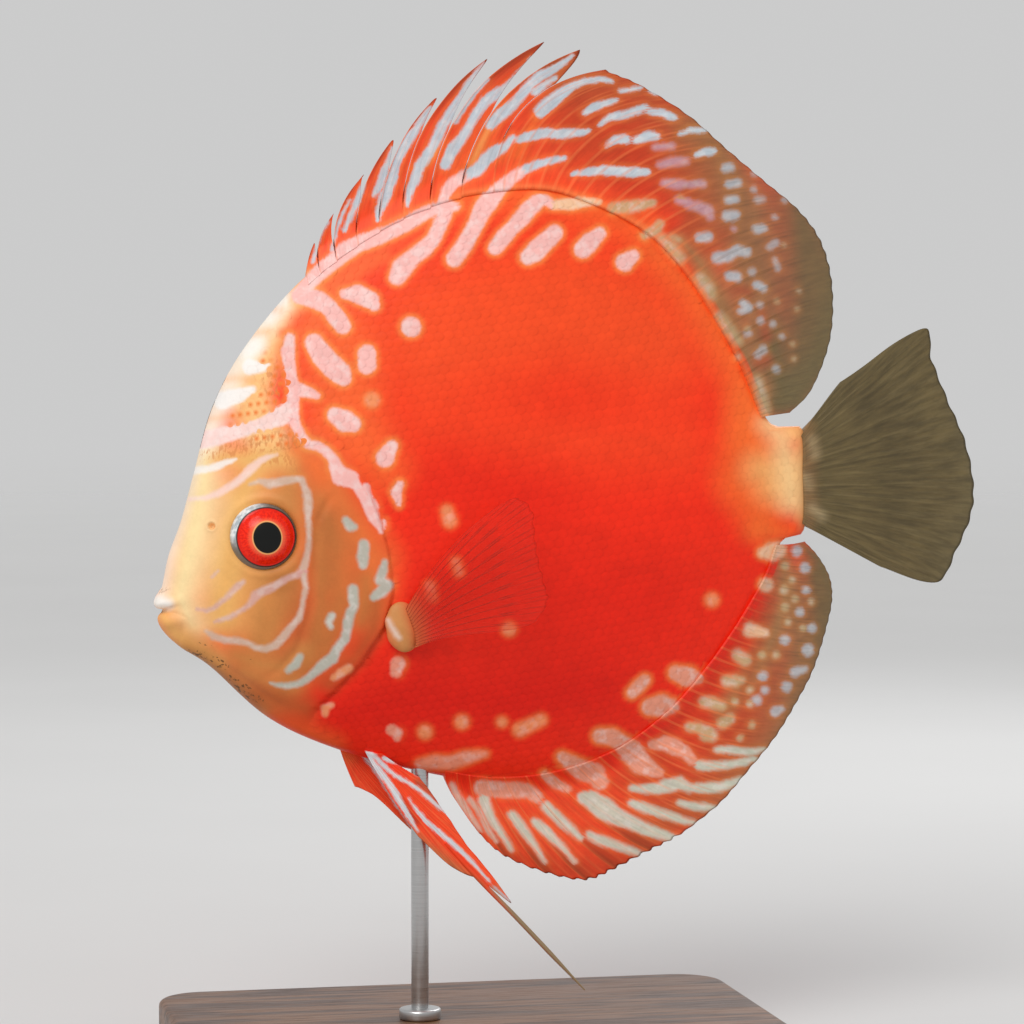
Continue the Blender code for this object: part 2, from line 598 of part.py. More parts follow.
def build_pectorals(cutter, cutters, parts, skin):
    """Each pectoral: a clear fan on a fleshy lobe, the lobe fitted to the flank."""
    for side, name in ((-1, "left"), (1, "right")):

        def middle(x, z, side=side):
            return side * (PECTORAL_OUT + PECTORAL_SPLAY * (x - PECTORAL[0][0]))

        columns = fin_columns([EVEN] * 9)
        mesh = fin_mesh(f"pectoral_fin_{name}", PECTORAL, columns, PECTORAL_BOW, False, middle)
        fin = make_object(f"pectoral_fin_{name}", mesh, skin["pectoral_fin"], parts)
        x, y, z = PECTORAL_LOBE
        lobe = ball_mesh("lobe", (x, side * y, z), PECTORAL_LOBE_RADII, 14, 8)
        boolean(fin, "UNION", make_object(f"lobe {name}", lobe, None, cutters))
        boolean(fin, "DIFFERENCE", cutter)


def build_pelvics(cutter, parts, skin):
    """Each pelvic: a narrow pointed fan set against the belly, the left one with a filament."""
    left_webs = [BEFORE_FILAMENT, BEHIND_FILAMENT, *[PELVIC_WEB] * 3]
    for side, name, rows, webs in (
        (-1, "left", PELVIC_LEFT, left_webs), (1, "right", PELVIC_RIGHT, [PELVIC_WEB] * 5)
    ):

        def middle(x, z, side=side):
            return side * (PELVIC_OUT - PELVIC_SPREAD * (z - PELVIC_HEIGHT))

        rows = [sunk(row, PELVIC_SINK) for row in rows]
        mesh = fin_mesh(f"pelvic_fin_{name}", rows, fin_columns(webs), PELVIC_BOW, False, middle)
        fin = make_object(f"pelvic_fin_{name}", mesh, skin["pelvic_fin"], parts)
        boolean(fin, "DIFFERENCE", cutter)


def build_stand(torso, cutters, parts):
    """A flat base with rounded edges and one rod that ends in a socket in the belly."""
    width, depth, height = BASE_SIZE
    bm = bmesh.new()
    bmesh.ops.create_cube(bm, size=1.0)
    bmesh.ops.scale(bm, vec=BASE_SIZE, verts=bm.verts)
    upright = [edge for edge in bm.edges if abs(edge.verts[0].co.z - edge.verts[1].co.z) > 1]
    bmesh.ops.bevel(bm, geom=upright, offset=BASE_CORNER, segments=5, profile=0.5, affect="EDGES")
    top = [edge for edge in bm.edges if all(vertex.co.z > 0 for vertex in edge.verts)]
    bmesh.ops.bevel(bm, geom=top, offset=BASE_BEVEL, segments=2, profile=0.5, affect="EDGES")
    bmesh.ops.translate(bm, vec=(BASE_X, 0, height / 2), verts=bm.verts)
    wood = material("stand_wood", (0.09, 0.05, 0.03), 0.35)
    base = make_object("stand_base", finish_mesh(bm, "stand_base"), wood, parts)

    steel = material("stand_steel", (0.55, 0.56, 0.57), 0.3, 1.0)
    make_object("stand_rod", rod_mesh("stand_rod", 0.0), steel, parts)
    socket = make_object("rod socket", rod_mesh("rod socket", GAP), None, cutters)
    boolean(base, "DIFFERENCE", socket)
    boolean(torso, "DIFFERENCE", socket)


def rod_mesh(name, grow):
    bm = bmesh.new()
    length = ROD_TOP - ROD_FOOT + 2 * grow
    radius = ROD_RADIUS + grow
    bmesh.ops.create_cone(
        bm, cap_ends=True, segments=16, radius1=radius, radius2=radius, depth=length
    )
    bmesh.ops.translate(bm, vec=(ROD_X, 0, (ROD_TOP + ROD_FOOT) / 2), verts=bm.verts)
    return finish_mesh(bm, name)


def main():
    for obj in list(bpy.data.objects):
        bpy.data.objects.remove(obj)
    parts = bpy.data.collections.new(COLLECTION)
    cutters = bpy.data.collections.new("Cutters")
    bpy.context.scene.collection.children.link(parts)
    bpy.context.scene.collection.children.link(cutters)

    flesh = {
        "head": material("head_skin", (0.86, 0.55, 0.28), 0.4),
        "flank": material("flank_skin", (0.85, 0.07, 0.02), 0.4),
        "stalk": material("stalk_skin", (0.9, 0.5, 0.25), 0.4),
    }
    fins = {
        "dorsal_fin_spiny": material("dorsal_spiny", (0.75, 0.13, 0.05), 0.4),
        "dorsal_fin_soft": material("dorsal_soft", (0.45, 0.22, 0.13), 0.4),
        "anal_fin_spiny": material("anal_spiny", (0.7, 0.14, 0.06), 0.4),
        "anal_fin_soft": material("anal_soft", (0.55, 0.25, 0.14), 0.4),
        "caudal_fin": material("caudal", (0.3, 0.26, 0.2), 0.4),
        "pectoral_fin": material("pectoral", (0.75, 0.3, 0.2), 0.35),
        "pelvic_fin": material("pelvic", (0.8, 0.15, 0.06), 0.4),
    }
    torso = build_head(cutters, parts, flesh)
    build_tail_stalk(torso, cutters, parts, flesh["stalk"])
    fitted = make_object("fitted flesh", body_mesh("fitted flesh", GAP), None, cutters)
    build_upright_fins(parts, fins)
    build_pectorals(fitted, cutters, parts, fins)
    build_pelvics(fitted, parts, fins)

    tipped = bpy.data.objects.new("fish", None)
    parts.objects.link(tipped)
    tipped.location = Vector(DISC_CENTRE) * MM
    tipped.rotation_euler = (0.0, -math.radians(NOSE_DOWN), 0.0)
    for obj in parts.objects:
        if obj is not tipped:
            obj.parent = tipped
    bpy.context.view_layer.update()
    build_stand(torso, cutters, parts)
    for obj in cutters.objects:
        obj.hide_render = True
        obj.display_type = "WIRE"


main()
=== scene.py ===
# %% [markdown]
# A discus fish as a museum shows it: a painted, life-size model, held over a small wooden base by
# one steel rod. The plain solids are loaded first. They never move here: each finished piece of
# this lesson takes the place of one or more of them.

import math

import bpy
import numpy as np
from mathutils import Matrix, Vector
from mathutils.bvhtree import BVHTree


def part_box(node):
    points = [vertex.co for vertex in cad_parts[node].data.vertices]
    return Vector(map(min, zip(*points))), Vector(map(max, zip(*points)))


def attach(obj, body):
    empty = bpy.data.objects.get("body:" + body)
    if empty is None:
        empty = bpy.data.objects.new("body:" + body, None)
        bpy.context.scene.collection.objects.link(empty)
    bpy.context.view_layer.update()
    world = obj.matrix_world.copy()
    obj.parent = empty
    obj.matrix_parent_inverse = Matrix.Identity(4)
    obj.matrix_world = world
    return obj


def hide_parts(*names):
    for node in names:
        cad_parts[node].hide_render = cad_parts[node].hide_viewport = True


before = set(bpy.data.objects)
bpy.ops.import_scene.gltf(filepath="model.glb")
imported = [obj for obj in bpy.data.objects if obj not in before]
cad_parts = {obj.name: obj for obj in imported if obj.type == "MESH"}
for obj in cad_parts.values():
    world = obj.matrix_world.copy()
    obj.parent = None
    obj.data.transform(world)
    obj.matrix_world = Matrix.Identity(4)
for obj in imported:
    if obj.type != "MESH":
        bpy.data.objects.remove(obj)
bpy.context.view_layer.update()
MM = 0.001

# %% [markdown]
# The camera looks at the left flank, a little from the front and a little from above, through a
# long lens, as the photographer did. The same numbers turn a place on the fish into a place in
# the photograph, so a marking can be drawn where it was seen. Both flanks wear the left one's
# markings, so a place on the right is first mirrored to the left.

# %% The camera, and where a place falls in the photograph
CAMERA_TARGET = Vector((-12.27, 0.0, 109.43)) * MM
CAMERA_AZIMUTH = math.radians(-12.0)
CAMERA_ELEVATION = math.radians(3.0)
CAMERA_DISTANCE = 750.0 * MM
CAMERA_LENS = 131.84
SENSOR_WIDTH = 36.0
PHOTO_SIZE = 1024

level = math.cos(CAMERA_ELEVATION)
towards_camera = Vector((
    math.sin(CAMERA_AZIMUTH) * level,
    -math.cos(CAMERA_AZIMUTH) * level,
    math.sin(CAMERA_ELEVATION),
))
camera_right = Vector((math.cos(CAMERA_AZIMUTH), math.sin(CAMERA_AZIMUTH), 0.0))
camera_up = towards_camera.cross(camera_right)

bpy.ops.object.camera_add(
    location=CAMERA_TARGET + towards_camera * CAMERA_DISTANCE,
    rotation=(-towards_camera).to_track_quat("-Z", "Y").to_euler(),
)
camera = bpy.context.object
camera.name = "camera"
camera.data.lens = CAMERA_LENS
camera.data.sensor_width = SENSOR_WIDTH
camera.data.clip_start = 0.05
camera.data.clip_end = 30.0
bpy.context.scene.camera = camera
PIXELS_PER_SLOPE = CAMERA_LENS / SENSOR_WIDTH * PHOTO_SIZE


def photo_place(points):
    """Where points of the left flank, in metres, fall in the photograph: (across, down)."""
    from_target = np.array(points) * (1, 0, 1)
    from_target[:, 1] = -np.abs(np.array(points)[:, 1])
    from_target -= np.array(CAMERA_TARGET)
    depth = CAMERA_DISTANCE - from_target @ np.array(towards_camera)
    across = PHOTO_SIZE / 2 + PIXELS_PER_SLOPE * (from_target @ np.array(camera_right)) / depth
    down = PHOTO_SIZE / 2 - PIXELS_PER_SLOPE * (from_target @ np.array(camera_up)) / depth
    return np.stack([across, down], axis=1)


print("millimetres to a pixel at the fish:", round(CAMERA_DISTANCE / PIXELS_PER_SLOPE / MM, 3))

# %% [markdown]
# The fish is easiest to draw level, in millimetres from the middle of its disc, with the snout
# towards -X and the left side towards -Y. One function then dips its nose and lifts it over the
# base, where the solids are.

# %% The fish's own space
DISC_CENTRE = np.array((-18.8, 0.0, 113.9))
NOSE_DOWN = math.radians(8.0)
DIP_COS = math.cos(NOSE_DOWN)
DIP_SIN = math.sin(NOSE_DOWN)


def to_world(places):
    """Places in the fish's own millimetres, as points in metres in the frame of the solids."""
    x, y, z = np.asarray(places, float).T
    turned = np.stack([x * DIP_COS - z * DIP_SIN, y, x * DIP_SIN + z * DIP_COS], axis=1)
    return (turned + DISC_CENTRE) * MM


def to_fish(points):
    """The way back from metres in the frame to the fish's own millimetres."""
    x, y, z = (np.asarray(points, float) / MM - DISC_CENTRE).T
    return np.stack([x * DIP_COS + z * DIP_SIN, y, -x * DIP_SIN + z * DIP_COS], axis=1)


print("the nose dips by degrees:", round(math.degrees(NOSE_DOWN), 1))


# %% [markdown]
# A few small tools come back in every piece: smooth steps and bumps, a curve through given rows,
# the distance to a drawn line, and reading or setting all points of a mesh at once.

# %% Small tools
def smooth(value):
    """0 below 0 and 1 above 1, with a soft start and end."""
    value = np.clip(value, 0.0, 1.0)
    return value * value * (3 - 2 * value)


def bell(value, middle, width):
    """1 at the middle, falling softly to 0 a few widths away."""
    return np.exp(-(((value - middle) / width) ** 2))


def spline(rows, places):
    """Rows read at places from 0 (the first row) to 1 (the last), on a smooth curve through them."""
    rows = np.asarray(rows, float)
    spans = len(rows) - 1
    at = np.clip(np.atleast_1d(places), 0.0, 1.0) * spans
    first = np.minimum(at.astype(int), spans - 1)
    t = (at - first)[:, None]
    before = rows[np.maximum(first - 1, 0)]
    start = rows[first]
    end = rows[first + 1]
    after = rows[np.minimum(first + 2, spans)]
    return 0.5 * (
        2 * start
        + (end - before) * t
        + (2 * before - 5 * start + 4 * end - after) * t**2
        + (3 * start - before - 3 * end + after) * t**3
    )


def line_distance(points, line):
    """(distance, side, share of the way along) from points to a drawn line of (x, z) places."""
    best = np.full(len(points), 1e9)
    side = np.zeros(len(points))
    share = np.zeros(len(points))
    spans = len(line) - 1
    for index in range(spans):
        start = np.array(line[index], float)
        along = np.array(line[index + 1], float) - start
        offset = points - start
        t = np.clip(offset @ along / (along @ along), 0.0, 1.0)
        distance = np.linalg.norm(offset - t[:, None] * along, axis=1)
        nearer = distance < best
        best[nearer] = distance[nearer]
        crossed = along[0] * offset[:, 1] - along[1] * offset[:, 0]
        side[nearer] = np.sign(crossed[nearer])
        share[nearer] = ((index + t) / spans)[nearer]
    return best, side, share


def points_of(obj):
    flat = np.empty(len(obj.data.vertices) * 3, np.float32)
    obj.data.vertices.foreach_get("co", flat)
    return flat.reshape(-1, 3).astype(float)


def set_points(obj, points):
    obj.data.vertices.foreach_set("co", np.asarray(points, np.float32).ravel())
    obj.data.update()


def note(obj, name, values):
    """Keeps one number or one colour for each point of the mesh, for the material to read."""
    values = np.asarray(values, np.float32)
    if values.ndim == 1:
        obj.data.attributes.new(name, "FLOAT", "POINT").data.foreach_set("value", values)
        return
    opaque = np.ones((len(values), 4), np.float32)
    opaque[:, :3] = values
    obj.data.attributes.new(name, "FLOAT_COLOR", "POINT").data.foreach_set("color", opaque.ravel())


def just_made(name):
    """The primitive just added, named, with its size and turn moved into its mesh."""
    obj = bpy.context.object
    obj.name = name
    obj.data.name = name
    bpy.ops.object.transform_apply(location=True, rotation=True, scale=True)
    return obj


def select_only(*pieces):
    """Selects these pieces and nothing else, and makes the first of them the active one."""
    bpy.ops.object.select_all(action="DESELECT")
    for piece in reversed(pieces):
        piece.select_set(True)
        bpy.context.view_layer.objects.active = piece


def face_outwards(obj):
    """Turns every face of the mesh outwards."""
    select_only(obj)
    bpy.ops.object.mode_set(mode="EDIT")
    bpy.ops.mesh.select_all(action="SELECT")
    bpy.ops.mesh.normals_make_consistent(inside=False)
    bpy.ops.object.mode_set(mode="OBJECT")
    bpy.ops.object.shade_smooth()


def hand_over(obj, slot, *nodes):
    """Hides the solids that a finished piece takes the place of, and hangs the piece on the root."""
    if nodes:
        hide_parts(*nodes)
    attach(obj, "root")
    obj.data.calc_loop_triangles()
    print(f"{obj.name}: {len(obj.data.loop_triangles)} triangles")


# %% [markdown]
# A discus is almost round from the side and thin from the front. Its outline is a ring of places,
# and its thickness is a formula: full along the middle of the flank, falling in a curve to a rim
# that is only a couple of millimetres wide where the fins stand. The same numbers shape the
# solids, so skin and solids agree.

# %% The outline and the thickness of the flesh
BODY_OUTLINE = [
    (-67.3, -10.9), (-66.0, -9.5), (-63.8, -3.5), (-60.3, 3.1), (-56.3, 12.4), (-50.8, 24.5),
    (-42.6, 35.3), (-29.5, 46.7), (-13.7, 54.9), (0.1, 58.8), (12.5, 59.5), (24.6, 57.5),
    (39.9, 48.4), (48.8, 37.1), (56.9, 19.1), (61.3, 4.9), (68.0, 2.5), (67.3, -7.2),
    (65.6, -18.1), (60.7, -19.6), (57.0, -26.1), (50.6, -34.3), (42.0, -43.2), (32.4, -51.0),
    (21.1, -56.7), (8.2, -59.3), (-4.1, -58.7), (-16.1, -55.5), (-34.4, -47.7), (-48.3, -38.8),
    (-58.6, -26.7), (-63.9, -22.0), (-66.8, -18.4), (-67.7, -15.7), (-66.7, -14.0),
    (-67.6, -13.5), (-68.0, -12.4),
]
# Half the thickness along the middle of the flank, from snout to tail: (x, half thickness)
FLANK = [
    (-70.0, 5.0), (-66.0, 5.6), (-60.0, 7.2), (-52.0, 9.0), (-44.0, 10.3), (-36.0, 11.4),
    (-27.0, 12.2), (-15.0, 12.6), (0.0, 12.3), (15.0, 11.2), (30.0, 9.3), (45.0, 6.8),
    (55.0, 4.9), (62.0, 3.7), (72.0, 2.9),
]
RIM_HALF = 1.2
PEDUNCLE_RIM_HALF = 2.3
SNOUT_ANGLE = math.radians(190.0)
PEDUNCLE_ANGLE = math.radians(-7.0)
LIP_SWELL = 0.9
FLANK_POWER = 0.62
FLANK_FULLNESS = 2.1
SNOUT_FULLNESS = 6.5
PEDUNCLE_FULLNESS = 9.0
# The skin lies this far inside the solids, and the coat of scales fills the difference
COAT_DEPTH = 0.3

closed_ring = BODY_OUTLINE[-2:] + BODY_OUTLINE + BODY_OUTLINE[:2]
OUTLINE = spline(closed_ring, np.linspace(0.0, 1.0, 14 * len(closed_ring)))
flank_curve = spline(FLANK, np.linspace(0, 1, 100))


def rim_reader(centre):
    """A function that gives the distance from a centre to the outline at any angle."""
    x, z = (OUTLINE - np.array(centre)).T
    angles = np.arctan2(z, x) % math.tau
    order = np.argsort(angles)
    radii = np.hypot(x, z)[order]
    return lambda angle: np.interp(np.asarray(angle) % math.tau, angles[order], radii, period=math.tau)


rim_radius = rim_reader((0.0, 0.0))
ALL_ROUND = np.linspace(-math.pi, math.pi, 721)
PLAIN_RIM = np.mean([rim_radius(ALL_ROUND + turn) for turn in np.linspace(-0.07, 0.07, 9)], axis=0)


def angle_from(angle, middle):
    return (np.asarray(angle) - middle + math.pi) % math.tau - math.pi


def inward_share(x, z, inset=0.0):
    """0 in the middle of the disc and 1 on its rim. The mouth's notch is felt near the rim only."""
    angle, gone = np.arctan2(z, x), np.hypot(x, z)
    rim = rim_radius(angle)
    plain = np.interp(angle, ALL_ROUND, PLAIN_RIM)
    near = smooth((gone / rim - 0.93) / 0.06)
    return np.clip(gone / (plain + (rim - plain) * near - inset), 0.0, 1.0)


def skin_half(x, z):
    """How far the skin stands from the mid-plane, rounded off at the rim."""
    angle = np.arctan2(z, x)
    inward = inward_share(x, z, COAT_DEPTH)
    fullness = FLANK_FULLNESS + SNOUT_FULLNESS * bell(angle_from(angle, SNOUT_ANGLE), 0, 0.5)
    fullness = fullness + PEDUNCLE_FULLNESS * bell(angle_from(angle, PEDUNCLE_ANGLE), 0, 0.3)
    middle = np.interp(x, flank_curve[:, 0], flank_curve[:, 1])
    edge = RIM_HALF + (PEDUNCLE_RIM_HALF - RIM_HALF) * bell(angle_from(angle, PEDUNCLE_ANGLE), 0, 0.2)
    from_rim = (1 - inward) * rim_radius(angle)
    cap = np.sqrt(1 - np.clip(1 - from_rim / edge, 0.0, 1.0) ** 2)
    lips = LIP_SWELL * bell(x, -66.0, 3.4) * (bell(z, -12.3, 1.3) + bell(z, -16.2, 1.5))
    return (edge - COAT_DEPTH) * cap + (middle - edge) * (1 - inward**fullness) ** FLANK_POWER + lips * cap


print("body length and depth in mm:", np.ptp(OUTLINE, axis=0).round(1).tolist())

# %% [markdown]
# What makes a head is in its small forms: the rim round the eye, the nostril, two lips with the
# line of the mouth between them, the groove behind the cheek and the free edge of the gill cover.
# They could be sculpted by hand. Here each is a short drawn line or a spot with a depth, so that
# its place and its size can be read, and all of them push the skin in or out along its normal.

# %% The small forms of the head
eye_low, eye_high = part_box("eye_left")
EYE_CENTRE = to_fish([(eye_low + eye_high) / 2])[0]
EYE_RADIUS = (eye_high.x - eye_low.x) / 2 / MM
EYE_HALF_DEPTH = (eye_high.y - eye_low.y) / 2 / MM
NOSTRIL = (-55.0, 1.4)
MOUTH_LINE = [(-72.0, -13.9), (-66.7, -14.0), (-64.4, -14.5), (-62.4, -15.6), (-61.3, -17.2)]
CHEEK_GROOVE = [
    (-31.0, 5.0), (-32.6, 3.0), (-34.9, -0.4), (-36.4, -7.8), (-38.6, -17.3), (-42.0, -24.7),
    (-46.5, -28.8), (-51.0, -31.0),
]
UNDER_EYE_GROOVE = [(-53.0, -8.0), (-49.5, -12.2), (-44.5, -13.6), (-39.0, -11.8), (-35.6, -6.5)]
LIP_FOLD = [
    (-66.0, -8.4), (-64.6, -11.0), (-63.4, -13.6), (-62.8, -16.4), (-63.6, -19.6), (-64.8, -21.4),
]
GILL_EDGE = [
    (-27.2, 11.0), (-24.6, 5.0), (-23.2, -1.5), (-22.3, -8.0), (-22.5, -16.0), (-25.0, -22.7),
    (-30.0, -29.0), (-35.5, -33.8), (-40.5, -37.8), (-44.0, -42.5),
]
THROAT_LINE = [(-60.5, -20.5), (-55.0, -27.5), (-49.0, -33.5), (-44.0, -37.5)]
# The lines that are grooves all along: (line, depth, half the width, how fast each end starts)
GROOVES = [
    (LIP_FOLD, 0.16, 0.7, 4), (CHEEK_GROOVE, 0.3, 0.75, 5), (UNDER_EYE_GROOVE, 0.14, 1.2, 4),
    (THROAT_LINE, 0.22, 0.8, 4),
]


def head_relief(x, z):
    """How far the small forms push the skin out (or in, below 0), in millimetres."""
    places = np.stack([x, z], axis=1)
    from_eye = np.hypot(x - EYE_CENTRE[0], z - EYE_CENTRE[2])
    push = 0.3 * bell(from_eye, 7.6, 0.8) - 3.2 * smooth((6.75 - from_eye) / 2.2)
    from_nostril = np.hypot(x - NOSTRIL[0], z - NOSTRIL[1])
    push += 0.16 * bell(from_nostril, 0.95, 0.3) - 1.0 * smooth((0.8 - from_nostril) / 0.55)
    mouth, _, along = line_distance(places, MOUTH_LINE)
    push -= 0.5 * bell(mouth, 0, 0.32) * (1 - along)
    for line, depth, width, ends in GROOVES:
        groove, _, along = line_distance(places, line)
        push -= depth * bell(groove, 0, width) * smooth(ends * along) * smooth(ends * (1 - along))
    gill, side, along_gill = line_distance(places, GILL_EDGE)
    behind = np.where(side > 0, gill, 0.0)
    step = smooth(behind / 0.45) * np.exp(-behind / 3.0)
    push -= 0.75 * step * smooth(7 * along_gill) * smooth(5 * (1 - along_gill))
    cover = bell(x, -28.0, 9.0) * bell(z, -12.0, 20.0)
    push += 0.5 * cover * smooth(1 - behind / 1.2)
    return push


print("eye radius in mm:", round(EYE_RADIUS, 2), "at", [round(float(v), 1) for v in EYE_CENTRE])

# %% [markdown]
# The skin is one closed piece from lips to tail, so no seam shows. It starts as a ball whose poles
# sit on the two eyes: its rings then close round the eye, where the finest forms and markings are,
# and widen towards the tail. The rays crowd at the mouth and the tail stalk, and every point is
# set on the formula of the flank, then pushed along its normal by the small forms.

# %% Model the skin
SKIN_RAYS = 404
SKIN_RINGS = 122
MOUTH_SIDE = math.radians(208.0)
TAIL_SIDE = math.radians(-3.0)
MOUTH_CROWDING = 1.3
TAIL_CROWDING = 2.6
FINE_STEP = 0.3
COARSE_STEP = 1.45
RIM_STEP = 0.22
SOCKET_STEP = 1.3

eye_rim = rim_reader(EYE_CENTRE[[0, 2]])


def ray_angles(count):
    """The angles of the rays round the eye, closer together at the mouth and the tail stalk."""
    angles = np.linspace(0, math.tau, 4000)
    crowding = 1 + MOUTH_CROWDING * bell(angle_from(angles, MOUTH_SIDE), 0, 0.4)
    crowding += TAIL_CROWDING * bell(angle_from(angles, TAIL_SIDE), 0, 0.16)
    turned = np.concatenate([[0], np.cumsum(crowding)[:-1]])
    return np.interp(np.arange(count) / count, turned / turned[-1], angles)


def ring_reach(rim):
    """How far from the eye each ring lies on one ray: finest on the head and at the rim."""
    reach = np.linspace(0, rim, 500)
    step = FINE_STEP + (COARSE_STEP - FINE_STEP) * smooth((reach - 24) / 40)
    step = np.where(reach < 5.5, SOCKET_STEP, step)
    step = RIM_STEP + (step - RIM_STEP) * smooth((rim - reach) / 4)
    count = np.concatenate([[0], np.cumsum(1 / step)[:-1]])
    return np.interp(np.arange(SKIN_RINGS + 1) / SKIN_RINGS, count / count[-1], reach)


select_only()
bpy.ops.mesh.primitive_uv_sphere_add(
    segments=SKIN_RAYS, ring_count=2 * SKIN_RINGS, radius=1.0, rotation=(math.pi / 2, 0, 0)
)
skin = just_made("fish_skin")
ball = points_of(skin)
ring = np.rint(np.arccos(np.clip(ball[:, 1], -1, 1)) / (math.pi / (2 * SKIN_RINGS))).astype(int)
side = np.where(ring > SKIN_RINGS, -1.0, 1.0)
ring = np.minimum(ring, 2 * SKIN_RINGS - ring)
ray = np.rint(np.arctan2(ball[:, 2], ball[:, 0]) % math.tau / math.tau * SKIN_RAYS).astype(int) % SKIN_RAYS
RAY_ANGLES = ray_angles(SKIN_RAYS)
REACH = np.array([ring_reach(max(rim - COAT_DEPTH, 1.0)) for rim in eye_rim(RAY_ANGLES)])
skin_x = EYE_CENTRE[0] + REACH[ray, ring] * np.cos(RAY_ANGLES[ray])
skin_z = EYE_CENTRE[2] + REACH[ray, ring] * np.sin(RAY_ANGLES[ray])
skin_y = np.where(ring == SKIN_RINGS, 0.0, side * skin_half(skin_x, skin_z))
smooth_skin = np.stack([skin_x, skin_y, skin_z], axis=1)
set_points(skin, to_world(smooth_skin))
face_outwards(skin)

normals = np.empty(len(ball) * 3, np.float32)
skin.data.vertex_normals.foreach_get("vector", normals)
push = head_relief(skin_x, skin_z) * MM
set_points(skin, to_world(smooth_skin) + normals.reshape(-1, 3) * push[:, None])
print("skin points:", len(ball), "deepest push in mm:", round(float(push.min() / MM), 2))

# %% [markdown]
# Now the colours. Every paint has a name and is mixed once. A stroke is a line of brush places:
# (across, down, half the width), all in pixels of the photograph. Wide soft strokes lay the
# ground, as from an airbrush, and narrow crisp strokes are the markings on it.

# %% The paints
PAINTS = {
    "snout cream": (252, 226, 168),
    # Also a painted highlight along the profile of the snout
    "pale cream": (252, 240, 220),
    # Also a painted highlight on the knob of the upper lip
    "forehead white": (249, 245, 239),
    "cheek peach": (240, 184, 106),
    "cheek tan": (208, 138, 72),
    "cheek brown": (178, 106, 52),
    "gill orange": (236, 118, 56),
    "gill brown": (196, 118, 58),
    "throat brown": (184, 92, 42),
    "chin brown": (168, 104, 58),
    "freckle brown": (84, 60, 34),
    "nape orange": (255, 104, 46),
    "speckle orange": (240, 120, 42),
    "speckle ground": (255, 200, 132),
    "speckle brown": (214, 130, 70),
    "flank red": (252, 46, 18),
    # The red of the upper flank is partly painted light from above, and the red of the belly partly painted
    # shade
    "upper red": (255, 84, 34),
    "middle red": (236, 32, 12),
    "belly red": (222, 22, 8),
    "rim orange": (255, 114, 46),
    "stalk peach": (250, 178, 106),
    "stalk cream": (255, 214, 152),
    "fringe yellow": (255, 168, 84),
    "pink": (251, 190, 184),
    "pale pink": (252, 216, 210),
    "white": (249, 245, 242),
    "ice": (196, 210, 220),
    "pale ice": (214, 224, 230),
    "lilac": (205, 172, 192),
    "blue grey": (188, 196, 204),
    "peach": (248, 170, 120),
    "cream": (250, 206, 166),
    "rim tan": (204, 180, 136),
    "mint": (206, 214, 196),
    "salmon": (240, 160, 134),
    "fin red": (244, 74, 34),
    "fin dark red": (200, 66, 30),
    "fin rust": (184, 82, 44),
    "fin brown": (158, 110, 68),
    "fin tan": (168, 124, 78),
    "fin olive": (116, 98, 56),
    "fin smoke": (108, 96, 66),
    "flap rust": (150, 58, 26),
    "tail smoke": (106, 90, 54),
    "head line": (212, 186, 168),
    "cheek line": (216, 172, 168),
    "gill mark": (184, 190, 178),
    "tail ray": (66, 56, 34),
    "pelvic red": (250, 70, 30),
    "pelvic tan": (176, 106, 64),
    "pelvic shade": (124, 66, 50),
    "filament": (142, 134, 102),
    "lobe cream": (204, 142, 82),
    "ray orange": (255, 138, 78),
    "ray brown": (84, 68, 44),
    "tail light": (126, 112, 80),
    "pectoral web": (232, 50, 32),
    "pectoral ray": (150, 38, 24),
    "pectoral root": (206, 96, 54),
    "pelvic deep": (150, 42, 20),
    "iris red": (255, 44, 12),
    "iris deep": (226, 26, 6),
    "iris glow": (255, 124, 84),
    "pupil ring": (244, 176, 110),
    "pupil": (14, 15, 13),
    "eye silver": (176, 184, 190),
    "eye white": (236, 240, 240),
    "eye grey": (120, 112, 104),
    "eye line": (54, 40, 36),
    "walnut light": (122, 84, 56),
    "walnut dark": (78, 50, 33),
    "walnut pore": (42, 27, 19),
}


def linear(name):
    """A named paint as the light that it sends back, for the shaders."""
    share = np.array(PAINTS[name]) / 255
    return np.where(share <= 0.04045, share / 12.92, ((share + 0.055) / 1.055) ** 2.4)


print("paints:", len(PAINTS))

# %% [markdown]
# A stroke could be painted in an image and laid over the fish. Here its distance is worked out for
# every point of the mesh instead, so that its edge can be drawn crisp or soft in the shader.

# %% Strokes
FAR = 60.0


def stroke_distance(places, stroke, margin=FAR):
    """Pixels from places to the painted edge of a stroke: below 0 inside it, at most the margin."""
    line = np.array(stroke if len(stroke) > 1 else [stroke[0], stroke[0]], float)
    reach = margin + line[:, 2].max()
    low = line[:, :2].min(axis=0) - reach
    high = line[:, :2].max(axis=0) + reach
    near = np.flatnonzero(((places > low) & (places < high)).all(axis=1))
    distance = np.full(len(places), float(margin))
    local = places[near]
    for start, end in zip(line[:-1], line[1:]):
        along = end[:2] - start[:2]
        offset = local - start[:2]
        t = np.clip(offset @ along / max(along @ along, 1e-9), 0.0, 1.0)
        width = start[2] + (end[2] - start[2]) * t
        gone = np.linalg.norm(offset - t[:, None] * along, axis=1) - width
        distance[near] = np.minimum(distance[near], gone)
    return distance


def airbrush(places, colours, layers):
    """Lays wide soft strokes over colours, in turn: each layer is (paint, how much, softness, *strokes)."""
    for paint, amount, softness, *strokes in layers:
        for stroke in strokes:
            distance = stroke_distance(places, stroke, softness + 1)
            cover = smooth((softness - distance) / (2 * softness)) * amount
            colours = colours + (linear(paint) - colours) * cover[:, None]
    return colours


